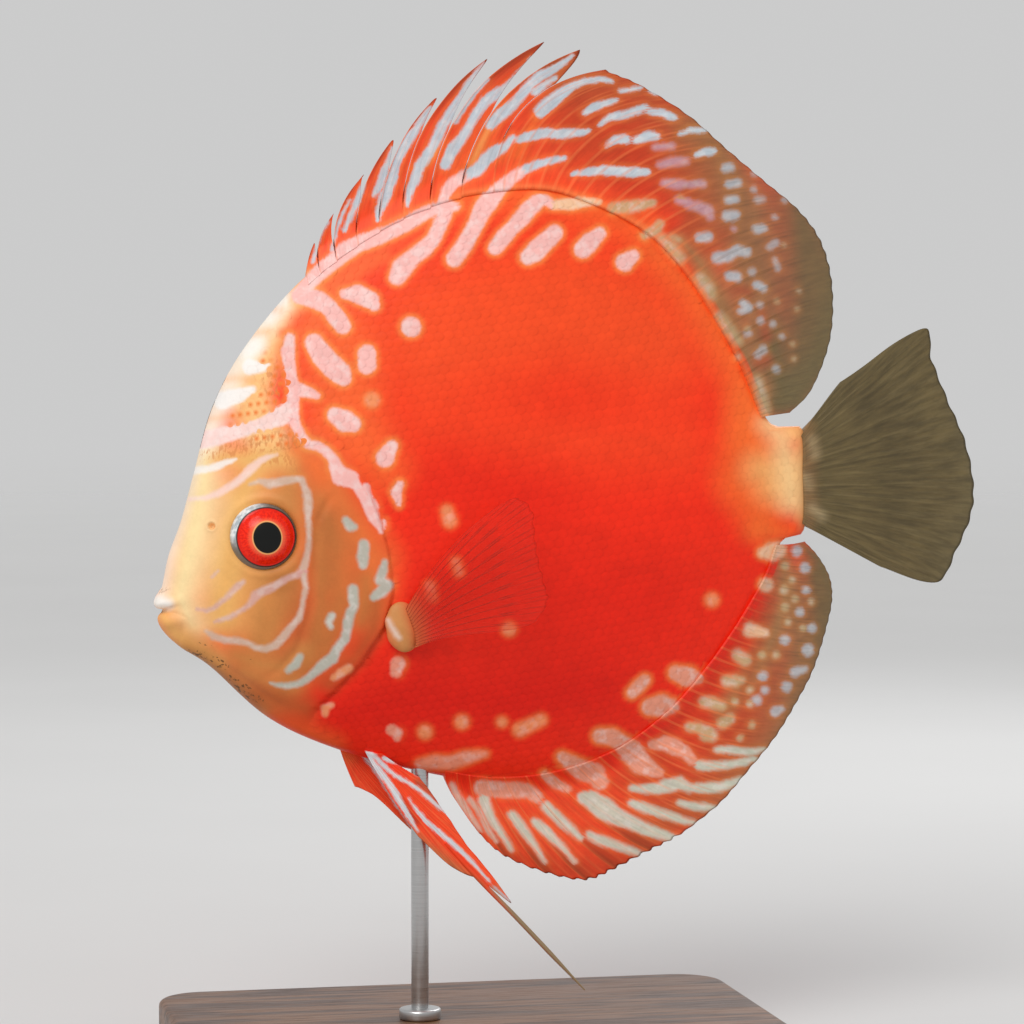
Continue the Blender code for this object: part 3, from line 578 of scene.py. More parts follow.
def nearest_marking(places, markings):
    """(distance, colour, strength, softness of the edge) of the nearest marking at each place."""
    distance = np.full(len(places), FAR)
    colour = np.tile(linear("pink"), (len(places), 1))
    strength = np.zeros(len(places))
    softness = np.ones(len(places))
    for paint, amount, soft, strokes in markings:
        for stroke in strokes:
            gone = stroke_distance(places, stroke)
            nearer = gone < distance
            distance[nearer] = gone[nearer]
            colour[nearer] = linear(paint)
            strength[nearer] = amount
            softness[nearer] = soft
    return distance, colour, strength, softness


def note_paint(obj, *paint):
    """Notes the ground and the nearest marking of every point, for the pigment."""
    labels = ("ground", "mark_distance", "mark_colour", "mark_strength", "mark_softness")
    for label, values in zip(labels, paint):
        note(obj, label, values)


print("a stroke is felt up to", FAR, "pixels away")


# %% [markdown]
# The head lines of a discus run like threads of blue-white over cream: from the snout under the
# eye, in a ring behind it, and along the gill cover. Each family below is (paint, strength,
# softness of the edge, strokes), drawn over enlargements of the photograph.

# %% Markings of the head
HEAD_LINES = [
    ("pale pink", 0.75, 1.8, [
        [(190, 499, 2), (205, 498, 2.5), (217, 494, 3.2), (230, 487, 3.6), (241, 479, 4), (250, 470, 4.5),
         (260, 461, 3.3), (268, 457, 2.5), (277, 454.5, 1)],
    ]),
    ("white", 0.8, 1.6, [
        [(192, 471, 4), (202, 470, 4), (212, 468, 3.5), (222, 464, 3), (231, 461, 2), (236, 459, 1)],
    ]),
    ("head line", 0.82, 1.8, [
        [(250, 484, 1.2), (260, 481, 2.6), (270, 484, 4.6), (285, 481, 4), (297, 479, 3.2), (302, 480, 3.4),
         (304, 486, 3), (307, 493, 4.2), (308, 500, 4.4), (308, 510, 4.2), (308, 518, 3.2), (309, 530, 2.6),
         (309, 540, 2.6), (308, 550, 2.8), (306, 560, 3.4), (303, 570, 4.2), (304, 578, 3.2),
         (306, 588, 2.8), (303, 600, 2.3), (302, 608, 2.6), (299, 618, 3.4), (292, 626, 3.5), (284, 636, 4),
         (276, 645, 4), (266, 649, 3.2), (256, 648, 2.8), (248, 643, 2.6), (238, 641, 3.4), (226, 640, 3.5),
         (214, 637, 3), (206, 631, 1.6)],
    ]),
    ("cheek line", 0.75, 1.8, [
        [(303, 571, 4.6), (297, 575, 3.4), (288, 578, 2.8), (281, 582, 3.6), (273, 587, 4.2),
         (263, 591, 4.4), (256, 595, 4.6), (252, 601, 3.4), (248, 606, 2.5), (240, 611, 2.3),
         (230, 617, 2.7), (220, 620, 2.3), (215, 622, 1.2)],
        [(243, 582, 2.6), (238, 586, 3.6), (232, 592, 3.2), (226, 598, 2.6), (220, 603, 2.4),
         (214, 608, 2.4), (207, 611, 2), (197, 609, 1.2)],
    ]),
    ("lilac", 0.45, 1.4, [
        [(218, 571, 1.5), (212, 577, 1.5)],
    ]),
]
GILL_MARKS = [
    ("gill mark", 0.9, 1.9, [
        [(346, 520, 3.6), (350, 526, 5.4), (354, 527, 3.6)],
        [(364, 545, 5.6), (363, 556, 6), (363, 565, 4.5)],
        [(385, 562, 3), (383, 570, 4.5), (380, 580, 5.4), (388, 585, 5.4), (381, 592, 6.2), (374, 597, 4)],
        [(332, 616, 4), (329, 622, 4), (331, 627, 3)],
        [(353, 589, 5), (353, 597, 5.4), (354, 606, 4.6), (350, 614, 4.6), (348, 622, 5), (347, 630, 4.6),
         (345, 639, 4.6), (337, 649, 4.6), (333, 658, 5.4), (324, 664, 5.4), (314, 673, 4.2),
         (307, 679, 3.7), (298, 684, 3.2), (287, 686, 3.2), (277, 685, 2.2), (270, 683, 0.8)],
        [(300, 657, 3.6), (296, 664, 4.5), (288, 671, 2.6)],
    ]),
    ("peach", 0.75, 2.0, [
        [(349, 668, 4), (341, 673, 4.5), (334, 678, 3)], [(331, 705, 3), (325, 708, 4), (325, 714, 3)],
    ]),
    ("salmon", 0.85, 1.8, [
        [(398, 664, 7.5), (396, 672, 5.5)], [(392, 730, 5.5), (397, 733, 5.5), (397, 738, 3.5)],
    ]),
]
print("head strokes:", sum(len(family[3]) for family in HEAD_LINES + GILL_MARKS))

# %% [markdown]
# Over the nape the lines break into pink bands and drops with a soft orange edge, and along the
# back they become slanting bars that run up into the dorsal fin. The flank itself stays plain red.

# %% Markings of the nape, the back and the flank
NAPE_MARKS = [
    ("pale pink", 0.95, 1.6, [
        [(203, 440, 9), (212, 438, 9), (230, 433, 8), (250, 428, 7), (265, 424, 7), (280, 416, 10),
         (290, 410, 9)],
    ]),
    ("white", 0.9, 1.8, [
        [(222, 400, 9), (240, 395, 7), (252, 390, 4)], [(250, 367, 8), (262, 367, 5), (268, 366, 3)],
    ]),
    ("pink", 0.97, 1.3, [
        [(290, 338, 5), (288, 352, 7), (289, 365, 6), (291, 378, 6), (293, 390, 7), (293, 403, 6),
         (292, 415, 7), (296, 426, 5), (301, 436, 5), (308, 444, 4.5), (318, 446, 4.5), (326, 451, 4.5),
         (333, 459, 5), (336, 468, 7), (341, 476, 9.5), (350, 479, 8.5), (357, 486, 5), (362, 494, 5),
         (367, 502, 5.5), (371, 511, 6), (374, 518, 5.5), (379, 526, 3.5), (381, 532, 2)],
        [(300, 390, 7), (310, 393, 5), (317, 396, 3)],
        [(366, 487, 4), (368, 493, 2.5), (373, 500, 1.8), (377, 507, 1.8)],
        [(384, 521, 1.8), (385, 528, 1.2)],
        [(300, 295, 9), (318, 300, 9), (330, 308, 8), (338, 320, 9), (343, 326, 8)],
        [(345, 294, 5), (358, 294, 9), (370, 300, 9), (374, 305, 6)],
        [(314, 343, 9), (322, 355, 11), (331, 365, 11), (340, 373, 11), (343, 378, 8)],
        [(367, 354, 9), (367, 365, 9)], [(335, 415, 8), (345, 421, 11), (353, 424, 8)],
        [(385, 458, 9), (392, 446, 6)], [(411, 327, 10)],
        [(400, 484, 3.5), (396, 492, 5), (398, 500, 3.5), (399, 505, 2)],
    ]),
    ("peach", 0.55, 3.0, [
        [(372, 400, 7)], [(447, 511, 5), (450, 521, 6)], [(430, 586, 4.5), (431, 597, 5)],
        [(456, 562, 4), (459, 572, 4)], [(509, 629, 6)], [(462, 722, 6)], [(520, 730, 6), (541, 720, 5)],
        [(425, 732, 6)], [(502, 722, 4)], [(712, 600, 6)],
    ]),
    ("salmon", 0.7, 3.0, [
        [(420, 765, 5), (435, 762, 6), (450, 763, 6), (465, 758, 6), (478, 755, 4), (485, 754, 2.5)],
    ]),
]
BACK_BARS = [
    ("pink", 0.97, 1.5, [
        [(305, 287, 7), (320, 272, 8), (335, 260, 8), (347, 250, 9), (360, 243, 8), (375, 238, 8),
         (390, 232, 7), (405, 225, 7), (418, 217, 7), (432, 210, 6), (445, 207, 6), (455, 206, 5)],
        [(445, 213, 7), (440, 225, 7), (433, 240, 7), (425, 248, 8), (412, 258, 8), (402, 268, 10),
         (397, 277, 8)], [(465, 176, 6), (455, 182, 6), (447, 190, 6), (443, 200, 5)],
        [(522, 171, 5), (510, 180, 6), (500, 188, 7), (490, 200, 9.5), (482, 210, 9), (477, 222, 8),
         (470, 235, 8), (463, 247, 8), (454, 259, 8)],
        [(540, 200, 7), (530, 208, 8), (522, 218, 8), (512, 228, 7), (503, 238, 8), (495, 248, 7)],
        [(545, 199, 4), (552, 205, 4)], [(555, 233, 8), (545, 242, 9), (535, 252, 10), (528, 257, 8)],
        [(600, 233, 6), (590, 242, 9), (583, 249, 9)], [(633, 256, 6), (625, 262, 9)],
    ]),
    ("cream", 0.9, 1.7, [
        [(552, 205, 4), (570, 204, 6), (585, 202, 5), (598, 202, 3)],
    ]),
    ("rim tan", 0.8, 2.4, [
        [(613, 208, 5), (630, 207, 6), (645, 204, 5), (652, 203, 4)],
        [(645, 235, 4), (655, 230, 5), (660, 224, 4)],
    ]),
    ("ice", 0.95, 1.4, [
        [(513, 137, 3), (505, 147, 4), (495, 152, 6), (485, 160, 6), (478, 170, 6), (465, 176, 5)],
        [(565, 158, 2.5), (550, 161, 3.5), (535, 165, 4), (522, 171, 4.5)],
    ]),
    ("rim tan", 0.75, 4.0, [
        [(662, 238, 4), (672, 248, 6), (680, 258, 5)], [(700, 278, 5), (708, 288, 6), (712, 296, 4)],
        [(720, 316, 4), (728, 328, 5), (738, 341, 4)], [(758, 380, 4), (762, 396, 5), (766, 410, 4)],
    ]),
]
print("body strokes:", sum(len(family[3]) for family in NAPE_MARKS + BACK_BARS))

# %% [markdown]
# On the dorsal and anal fins the bars turn into rows of dashes and dots between the rays, ice
# blue near the front and fading towards the rear, where the fins are almost clear.

# %% Markings of the dorsal fin
DORSAL_MARKS = [
    ("ice", 0.95, 1.3, [
        [(313, 262, 1.5), (317, 245, 1.5), (322, 232, 1.5), (328, 222, 1)],
        [(332, 250, 1.5), (336, 232, 1.5), (342, 215, 1.5), (350, 200, 1.2)],
        [(345, 230, 2), (351, 215, 3), (356, 203, 3.5), (361, 192, 3), (364, 182, 1.5)],
        [(374, 195, 2), (380, 185, 4), (384, 172, 4), (389, 160, 3), (392, 148, 1.5)],
        [(378, 220, 2), (380, 208, 4), (386, 195, 6), (392, 180, 5), (396, 165, 4), (402, 150, 5),
         (410, 138, 5), (418, 127, 4), (425, 115, 3), (430, 107, 1.5)],
        [(407, 205, 2), (410, 190, 4), (416, 178, 5), (420, 165, 5), (428, 155, 5), (436, 140, 5),
         (443, 125, 5), (452, 112, 5), (460, 100, 4.5), (468, 85, 3.5), (477, 72, 2), (484, 63, 1)],
        [(445, 165, 5), (452, 150, 6), (462, 138, 5), (470, 125, 4.5), (477, 112, 4.5), (484, 103, 5),
         (495, 95, 5), (505, 88, 4), (515, 80, 4), (525, 68, 3), (532, 58, 2)],
        [(455, 122, 2), (465, 105, 3), (475, 92, 3), (487, 80, 2.5)],
        [(490, 125, 5), (500, 115, 6), (510, 108, 5), (520, 97, 5), (530, 85, 5), (540, 76, 5),
         (552, 70, 4), (565, 62, 3), (573, 55, 1.5)], [(503, 95, 2), (512, 85, 2.5), (522, 77, 2)],
        [(535, 92, 4), (545, 84, 3), (556, 78, 2)],
        [(540, 112, 6), (550, 103, 7), (560, 95, 6), (572, 86, 4), (585, 81, 3.5), (600, 79, 3),
         (612, 81, 2)],
        [(518, 140, 3), (530, 136, 4.5), (545, 133, 5), (560, 134, 5), (575, 133, 4), (588, 131, 2.5)],
        [(573, 174, 2), (590, 172, 4), (605, 170, 5), (620, 171, 5), (635, 172, 5), (648, 172, 3)],
        [(606, 146, 2), (615, 140, 4), (625, 139, 5)], [(637, 140, 4), (648, 136, 5), (657, 136, 4)],
        [(600, 125, 2), (610, 117, 3.5), (625, 115, 4), (638, 110, 3.5), (646, 107, 2.5)],
        [(585, 113, 3), (595, 107, 4), (607, 103, 3.5), (617, 100, 2)],
        [(650, 112, 3), (662, 113, 4), (672, 117, 4), (677, 118, 2)],
        [(620, 91, 2), (635, 89, 2.5), (642, 87, 1.5)], [(651, 92, 2), (658, 94, 2)],
        [(680, 134, 2), (690, 130, 3), (702, 130, 3), (709, 130, 1.5)],
        [(697, 155, 3), (705, 152, 4), (714, 151, 3.5)],
    ]),
    ("lilac", 0.62, 2.8, [
        [(655, 147, 3), (672, 146, 3.5)], [(660, 165, 3), (672, 162, 5), (685, 161, 4)],
        [(665, 183, 4), (678, 184, 5), (688, 184, 3)], [(693, 184, 4), (703, 184, 4)],
        [(688, 206, 3), (698, 206, 5), (708, 211, 6), (710, 216, 4)], [(734, 229, 2.5)],
        [(679, 200, 4), (690, 203, 3.5)],
    ]),
    ("blue grey", 0.85, 2.4, [
        [(725, 168, 4), (731, 167, 4)], [(729, 184, 4), (738, 183, 4)], [(728, 200, 4), (735, 199, 4)],
        [(727, 216, 5), (735, 215, 4.5)], [(757, 229, 4.5), (764, 228, 3.5)],
        [(700, 238, 5), (708, 237, 5)], [(718, 258, 6), (728, 257, 5), (737, 250, 5), (746, 252, 5)],
        [(730, 276, 5), (737, 277, 5)], [(757, 285, 4), (763, 288, 4)],
        [(743, 303, 4), (748, 308, 4.5), (741, 311, 3)],
    ]),
    ("rim tan", 0.6, 2.6, [
        [(680, 198, 3), (686, 201, 2.5)], [(672, 237, 3), (678, 240, 3)], [(704, 283, 3)],
        [(748, 330, 3.5)], [(738, 357, 3)], [(777, 301, 2.2)], [(797, 309, 2)], [(799, 291, 2)],
        [(793, 344, 2)], [(794, 359, 2)], [(784, 245, 2)],
    ]),
    ("blue grey", 0.6, 2.4, [
        [(755, 174, 3)], [(754, 189, 3.5)], [(758, 200, 4), (763, 199, 3)], [(786, 200, 3)],
        [(775, 217, 3)], [(770, 247, 3.5), (775, 243, 4)], [(775, 260, 3), (778, 268, 3)], [(752, 272, 4)],
        [(760, 305, 3.5)], [(761, 321, 4)], [(773, 324, 3.5)], [(748, 333, 4)], [(782, 336, 3)],
        [(763, 350, 5), (758, 355, 4)], [(776, 369, 4)],
    ]),
]
print("dorsal strokes:", sum(len(family[3]) for family in DORSAL_MARKS))

# %% Markings of the lower rear flank and the anal fin
ANAL_MARKS = [
    ("salmon", 0.92, 1.8, [
        [(676, 673, 7), (688, 677, 10), (697, 678, 6)], [(645, 680, 5), (638, 687, 6), (632, 693, 5)],
        [(650, 707, 8), (662, 706, 11), (672, 706, 7)],
        [(600, 736, 7), (612, 737, 8), (620, 742, 8), (632, 752, 12), (640, 763, 11), (652, 770, 7),
         (660, 773, 4)], [(562, 757, 5), (572, 764, 8), (583, 771, 10), (595, 773, 10), (600, 782, 8)],
        [(545, 775, 4), (555, 783, 5), (567, 789, 4)],
        [(482, 788, 8), (503, 790, 8), (515, 790, 8), (528, 791, 7), (537, 797, 6)],
        [(652, 745, 4), (665, 743, 7), (675, 747, 8), (685, 752, 6), (692, 760, 5)],
    ]),
    ("mint", 0.88, 2.4, [
        [(583, 798, 6), (592, 800, 9), (603, 808, 11), (615, 816, 9), (630, 822, 7), (645, 829, 6),
         (660, 834, 5), (672, 838, 4), (682, 839, 3)],
        [(546, 806, 5), (555, 815, 5), (565, 824, 5), (573, 831, 4), (580, 838, 3)],
        [(484, 800, 6), (488, 812, 5), (495, 825, 4), (503, 836, 3), (512, 850, 2)],
        [(512, 815, 4), (520, 825, 5), (528, 836, 4), (535, 846, 3), (545, 862, 2)],
        [(535, 822, 4), (545, 830, 5), (553, 838, 4), (563, 848, 3), (575, 862, 2)],
        [(590, 835, 4), (600, 840, 5), (615, 845, 4.5), (630, 850, 3.5), (640, 854, 2.5), (648, 856, 1.5)],
        [(632, 803, 4), (645, 808, 5), (657, 812, 4), (670, 816, 4), (685, 821, 3.5), (695, 823, 2)],
        [(632, 788, 3), (645, 789, 4), (660, 788, 6), (672, 785, 7), (680, 783, 6), (690, 788, 4),
         (705, 788, 5), (720, 787, 5), (730, 784, 4), (740, 780, 3)],
        [(680, 803, 3), (692, 806, 4), (705, 807, 4), (715, 808, 2)],
        [(700, 765, 5), (715, 766, 4), (730, 765, 4), (745, 762, 4), (755, 759, 2)],
        [(717, 750, 3), (730, 750, 4), (745, 752, 4), (757, 751, 3), (764, 749, 1.5)],
    ]),
    ("rim tan", 0.8, 2.8, [
        [(690, 727, 5), (700, 728, 5), (707, 733, 8), (712, 736, 6)], [(722, 724, 5), (730, 719, 5)],
        [(705, 702, 6), (712, 703, 6), (722, 706, 4)], [(727, 681, 6), (735, 681, 6), (742, 680, 3)],
        [(738, 655, 6), (745, 660, 6)], [(784, 590, 4)],
    ]),
    ("cream", 0.85, 2.6, [
        [(750, 630, 7), (765, 633, 4)], [(766, 585, 7)], [(763, 553, 5), (772, 552, 9), (778, 550, 8)],
    ]),
    ("rim tan", 0.8, 2.4, [
        [(750, 690, 3.5)], [(750, 704, 3.5)], [(785, 566, 3.5)], [(785, 607, 3.5)], [(795, 599, 3)],
        [(811, 602, 3)], [(803, 628, 3)], [(752, 725, 3)], [(776, 655, 3.5)], [(762, 655, 3.5)],
        [(788, 622, 3)], [(792, 580, 3)], [(735, 702, 3)], [(740, 738, 3)],
    ]),
    ("blue grey", 0.8, 2.2, [
        [(763, 676, 5)], [(785, 640, 5)], [(808, 650, 6)], [(795, 672, 5), (805, 669, 3)],
        [(775, 712, 5), (782, 709, 3)], [(787, 687, 5)], [(757, 700, 5)], [(765, 690, 4)], [(797, 551, 5)],
        [(805, 568, 5)], [(806, 590, 4)], [(800, 612, 4.5)], [(812, 628, 4.5)],
    ]),
    ("mint", 0.6, 2.0, [
        [(452, 785, 3), (460, 800, 4), (470, 815, 3), (480, 830, 2)],
        [(470, 800, 3), (480, 812, 3), (487, 828, 3), (497, 842, 2)],
    ]),
]
BODY_MARKS = HEAD_LINES + GILL_MARKS + NAPE_MARKS + BACK_BARS + DORSAL_MARKS + ANAL_MARKS
print("anal strokes:", sum(len(family[3]) for family in ANAL_MARKS))

# %% [markdown]
# Under the markings lies the ground: cream on the snout, with a painted highlight along its
# profile and on the upper lip, tan and brown over cheek and gills, orange at the nape, red over
# the whole flank, lighter above and darkest at the belly, which is partly the fish's colour and
# partly painted light and painted shade, and a peach glow where the tail stalk begins. The fins
# share it at their roots and turn to rust, brown and smoke.

# %% The ground of the body and the upright fins
BODY_GROUND = [
    # Lighter red over the upper flank: partly the fish's colour, partly painted light from above
    ("upper red", 0.85, 55, [(430, 330, 70), (560, 300, 70), (660, 330, 60)]),
    ("upper red", 0.45, 40, [(430, 430, 30), (560, 440, 30), (680, 445, 30)]),
    ("middle red", 0.8, 60, [(470, 590, 50), (560, 610, 70), (640, 610, 60)]),
    ("middle red", 0.6, 45, [(450, 470, 30), (530, 500, 36)]),
    # Deeper red at the belly: partly the fish's colour, partly painted shade below
    ("belly red", 0.85, 45, [(345, 715, 25), (420, 700, 45), (520, 700, 40), (600, 690, 30)]),
    ("nape orange", 0.9, 26, [(318, 292, 30), (335, 350, 38), (345, 420, 38), (385, 470, 20)]),
    ("rim orange", 0.7, 26, [(330, 270, 16), (400, 222, 16), (470, 195, 16), (560, 196, 14),
      (640, 225, 16)]),
    ("rim orange", 0.8, 24, [(650, 250, 10), (692, 290, 10), (716, 330, 12), (742, 385, 14),
      (752, 430, 18)]),
    ("rim orange", 0.75, 22, [(752, 400, 20), (752, 480, 34), (762, 520, 20)]),
    ("stalk peach", 0.9, 20, [(762, 470, 16), (780, 478, 26), (812, 480, 24)]),
    ("stalk peach", 0.9, 10, [(792, 430, 10), (808, 436, 10), (808, 516, 10)]),
    ("stalk cream", 0.8, 16, [(768, 424, 8), (782, 440, 10), (788, 470, 12), (792, 500, 12)]),
    ("rim orange", 0.75, 14, [(758, 530, 8), (780, 532, 6), (792, 532, 5)]),
    ("fin tan", 0.5, 7, [(806, 430, 5), (806, 530, 5)]),
    ("gill orange", 0.95, 24, [(325, 470, 14), (350, 520, 22), (372, 560, 22), (368, 610, 20)]),
    ("gill brown", 0.9, 20, [(322, 500, 14), (336, 550, 18), (340, 600, 18), (325, 650, 18),
      (285, 692, 10)]),
    ("gill brown", 0.8, 12, [(366, 580, 6), (366, 604, 9), (362, 620, 6)]),
    ("gill orange", 0.4, 12, [(342, 560, 8), (344, 585, 8)]),
    ("throat brown", 0.8, 12, [(377, 604, 6), (372, 632, 8), (356, 658, 7), (330, 684, 6)]),
    ("cheek tan", 0.95, 24, [(300, 450, 12), (285, 500, 26), (275, 580, 34), (262, 640, 26)]),
    ("cheek brown", 0.6, 16, [(290, 590, 14), (302, 630, 14), (286, 662, 10)]),
    ("cheek brown", 0.5, 14, [(322, 520, 10), (326, 580, 8)]),
    ("gill orange", 0.6, 14, [(326, 478, 10), (333, 500, 8)]),
    ("gill brown", 0.85, 10, [(318, 535, 8), (321, 570, 9), (321, 605, 9), (316, 640, 9), (306, 662, 8)]),
    ("cheek peach", 0.95, 22, [(262, 455, 14), (240, 500, 24), (228, 560, 28), (222, 615, 24)]),
    ("snout cream", 0.97, 22, [(206, 452, 18), (200, 500, 22), (190, 550, 22), (180, 596, 20),
      (192, 625, 12)]),
    ("snout cream", 0.75, 16, [(240, 432, 10), (276, 436, 10)]),
    # Paler along the snout's profile: partly its cream, partly a painted highlight on the edge
    ("pale cream", 0.8, 10, [(198, 445, 6), (184, 505, 5), (168, 560, 5), (160, 600, 6)]),
    ("cheek peach", 0.9, 14, [(160, 612, 10), (172, 630, 12), (190, 648, 14), (215, 664, 14)]),
    ("cheek tan", 0.9, 16, [(186, 646, 6), (212, 668, 12), (240, 690, 14), (262, 708, 12)]),
    ("cheek tan", 0.85, 12, [(236, 655, 8), (262, 665, 9), (286, 666, 9), (302, 650, 7)]),
    ("cheek tan", 0.85, 14, [(244, 672, 9), (266, 682, 12), (290, 684, 10)]),
    ("chin brown", 0.8, 12, [(190, 656, 4), (225, 680, 9), (256, 700, 10)]),
    ("throat brown", 0.8, 14, [(260, 694, 10), (282, 704, 13), (304, 708, 11)]),
    ("gill orange", 0.6, 16, [(282, 722, 5), (306, 732, 8), (335, 744, 6)]),
    ("speckle ground", 0.95, 12, [(300, 285, 14), (276, 310, 16), (262, 345, 18), (248, 395, 22),
      (268, 440, 14)]),
    ("cheek peach", 0.9, 12, [(222, 458, 8), (250, 460, 10), (285, 458, 10)]),
    ("rim orange", 0.55, 12, [(296, 450, 9), (312, 464, 9), (322, 476, 8)]),
    # White on the knob of the upper lip: a painted highlight
    ("forehead white", 0.9, 5, [(158, 602, 7), (168, 604, 5)]),
    ("pale cream", 0.9, 12, [(280, 298, 13), (258, 328, 14), (236, 362, 15), (218, 402, 15),
      (206, 440, 10)]),
    ("forehead white", 0.85, 9, [(286, 291, 8), (268, 314, 9)]),
    ("forehead white", 0.85, 8, [(255, 345, 9), (248, 352, 8)]),
    ("fringe yellow", 0.45, 5, [(240, 305, 2), (262, 308, 3), (280, 310, 3)], [(232, 335, 2),
      (250, 334, 3), (268, 331, 3)], [(222, 380, 2), (236, 378, 3), (250, 380, 3)], [(210, 419, 2),
      (226, 417, 3), (240, 414, 3)]),
    ("nape orange", 0.9, 5, [(282, 333, 3), (295, 331, 4), (305, 331, 6), (315, 327, 8), (316, 316, 6)]),
    ("nape orange", 0.7, 6, [(340, 283, 6), (362, 268, 7), (384, 256, 6)]),
]
FIN_GROUND = [
    ("fin red", 1.0, 30, [(330, 240, 60), (400, 170, 60), (480, 130, 70), (560, 150, 60)]),
    ("nape orange", 0.7, 22, [(372, 222, 10), (430, 186, 14), (490, 158, 16), (540, 172, 10)]),
    ("fin dark red", 0.75, 20, [(300, 200, 22), (350, 140, 22), (410, 90, 22), (480, 55, 20),
      (560, 50, 26)]),
    ("fin dark red", 0.85, 30, [(590, 110, 44), (640, 160, 40)]),
    ("rim orange", 0.8, 7, [(443, 207, 5), (468, 169, 6), (487, 132, 6), (505, 104, 4)]),
    ("rim orange", 0.8, 6, [(412, 169, 4), (427, 163, 4), (443, 138, 4)]),
    ("rim orange", 0.7, 6, [(518, 154, 4), (530, 130, 5), (540, 110, 3)]),
    ("cheek peach", 0.5, 4, [(470, 166, 2), (480, 146, 3), (488, 130, 2)], [(426, 164, 2), (436, 150, 2)]),
    ("fin rust", 0.85, 24, [(560, 70, 24), (630, 82, 26), (680, 125, 26), (690, 180, 30), (700, 230, 22)]),
    ("fin brown", 0.95, 28, [(700, 130, 22), (720, 150, 26), (745, 215, 34), (755, 285, 34),
      (762, 350, 24)]),
    ("fin olive", 0.95, 28, [(790, 180, 16), (808, 235, 30), (815, 300, 34), (808, 360, 34),
      (780, 400, 20)]),
    ("fin olive", 0.95, 16, [(770, 330, 10), (775, 370, 14), (790, 398, 16), (802, 404, 14)]),
    ("fin tan", 0.9, 11, [(680, 238, 5), (700, 262, 9), (718, 300, 12), (740, 350, 13), (762, 398, 12)]),
    ("fin olive", 0.95, 13, [(828, 240, 8), (832, 300, 10), (824, 352, 14), (806, 384, 14),
      (780, 402, 10)]),
    ("fin rust", 0.75, 8, [(690, 226, 6), (704, 248, 5)], [(740, 290, 5), (748, 292, 5)]),
    ("fin rust", 0.8, 8, [(762, 312, 4), (766, 336, 6)], [(758, 362, 6), (766, 360, 6)]),
    ("fin rust", 0.6, 8, [(722, 236, 5), (728, 232, 5)]),
    ("fin red", 1.0, 26, [(440, 790, 40), (500, 830, 50), (580, 820, 50), (640, 790, 40)]),
    ("fin dark red", 0.8, 18, [(470, 850, 16), (520, 868, 14), (580, 872, 16), (640, 862, 14)]),
    ("fin dark red", 0.7, 24, [(650, 770, 30), (700, 735, 30), (735, 690, 28)]),
    ("fin rust", 0.85, 24, [(650, 835, 22), (700, 800, 26), (745, 745, 26), (765, 690, 24),
      (770, 630, 20)]),
    ("fin brown", 0.9, 22, [(720, 820, 16), (765, 765, 20), (795, 705, 22), (800, 640, 22),
      (790, 585, 16)]),
    ("fin olive", 0.9, 18, [(770, 778, 8), (800, 730, 12), (818, 680, 16), (824, 625, 20), (816, 575, 16)]),
    ("fin tan", 0.85, 12, [(784, 560, 8), (786, 600, 10), (772, 640, 10), (750, 678, 10), (722, 712, 7)]),
    ("fin olive", 0.95, 12, [(802, 546, 6), (820, 560, 10), (830, 590, 10), (832, 625, 8)]),
    ("fin rust", 0.6, 8, [(752, 668, 5), (742, 694, 5), (774, 600, 4)]),
]
# The nape where each scale carries an orange spot, where it has brown dashes, and the freckles of
# chin and snout, in bands and one by one
SPECKLES = [
    [(277, 370, 7), (278, 385, 11), (272, 396, 12), (258, 406, 9), (245, 414, 7), (230, 419, 6),
     (215, 422, 4)],
    [(257, 354, 5), (265, 359, 6)],
    [(235, 385, 4), (240, 378, 4)],
    [(258, 437, 6), (280, 438, 8), (300, 442, 6)],
]
DASHED = [
    [(205, 455, 6), (230, 450, 8), (255, 444, 9), (285, 440, 10), (296, 444, 8)],
    [(255, 462, 4), (285, 458, 6), (296, 470, 5)],
    [(270, 378, 9), (274, 396, 7)],
    [(236, 478, 3), (250, 470, 4)],
]
FRECKLES = [
    [(186, 649, 3), (200, 655, 5), (214, 661, 6), (226, 667, 5)],
    [(228, 677, 4), (240, 686, 6), (252, 694, 7), (262, 702, 5)],
    [(200, 643, 2), (212, 647, 3)],
    [(246, 656, 2), (252, 661, 2)],
]
SPECKS = [(188, 581), (191, 584), (193, 587), (184, 600), (187, 606), (203, 590), (175, 573)]
FRINGE_REACH = 7.0
FRINGE_START_X = -42.0
FLANK_START_X = -25.0
FRINGE_ON_FIN = 0.2
FRINGE_ON_SKIN = 0.5
FIN_BLEND = (6.0, 0.6)
# Where fin and flesh meet, a thin line of painted light, in peach, keeps the fold between them
# from looking dark
FOLD_LIGHT = 0.2
FOLD_WIDTH = 0.6


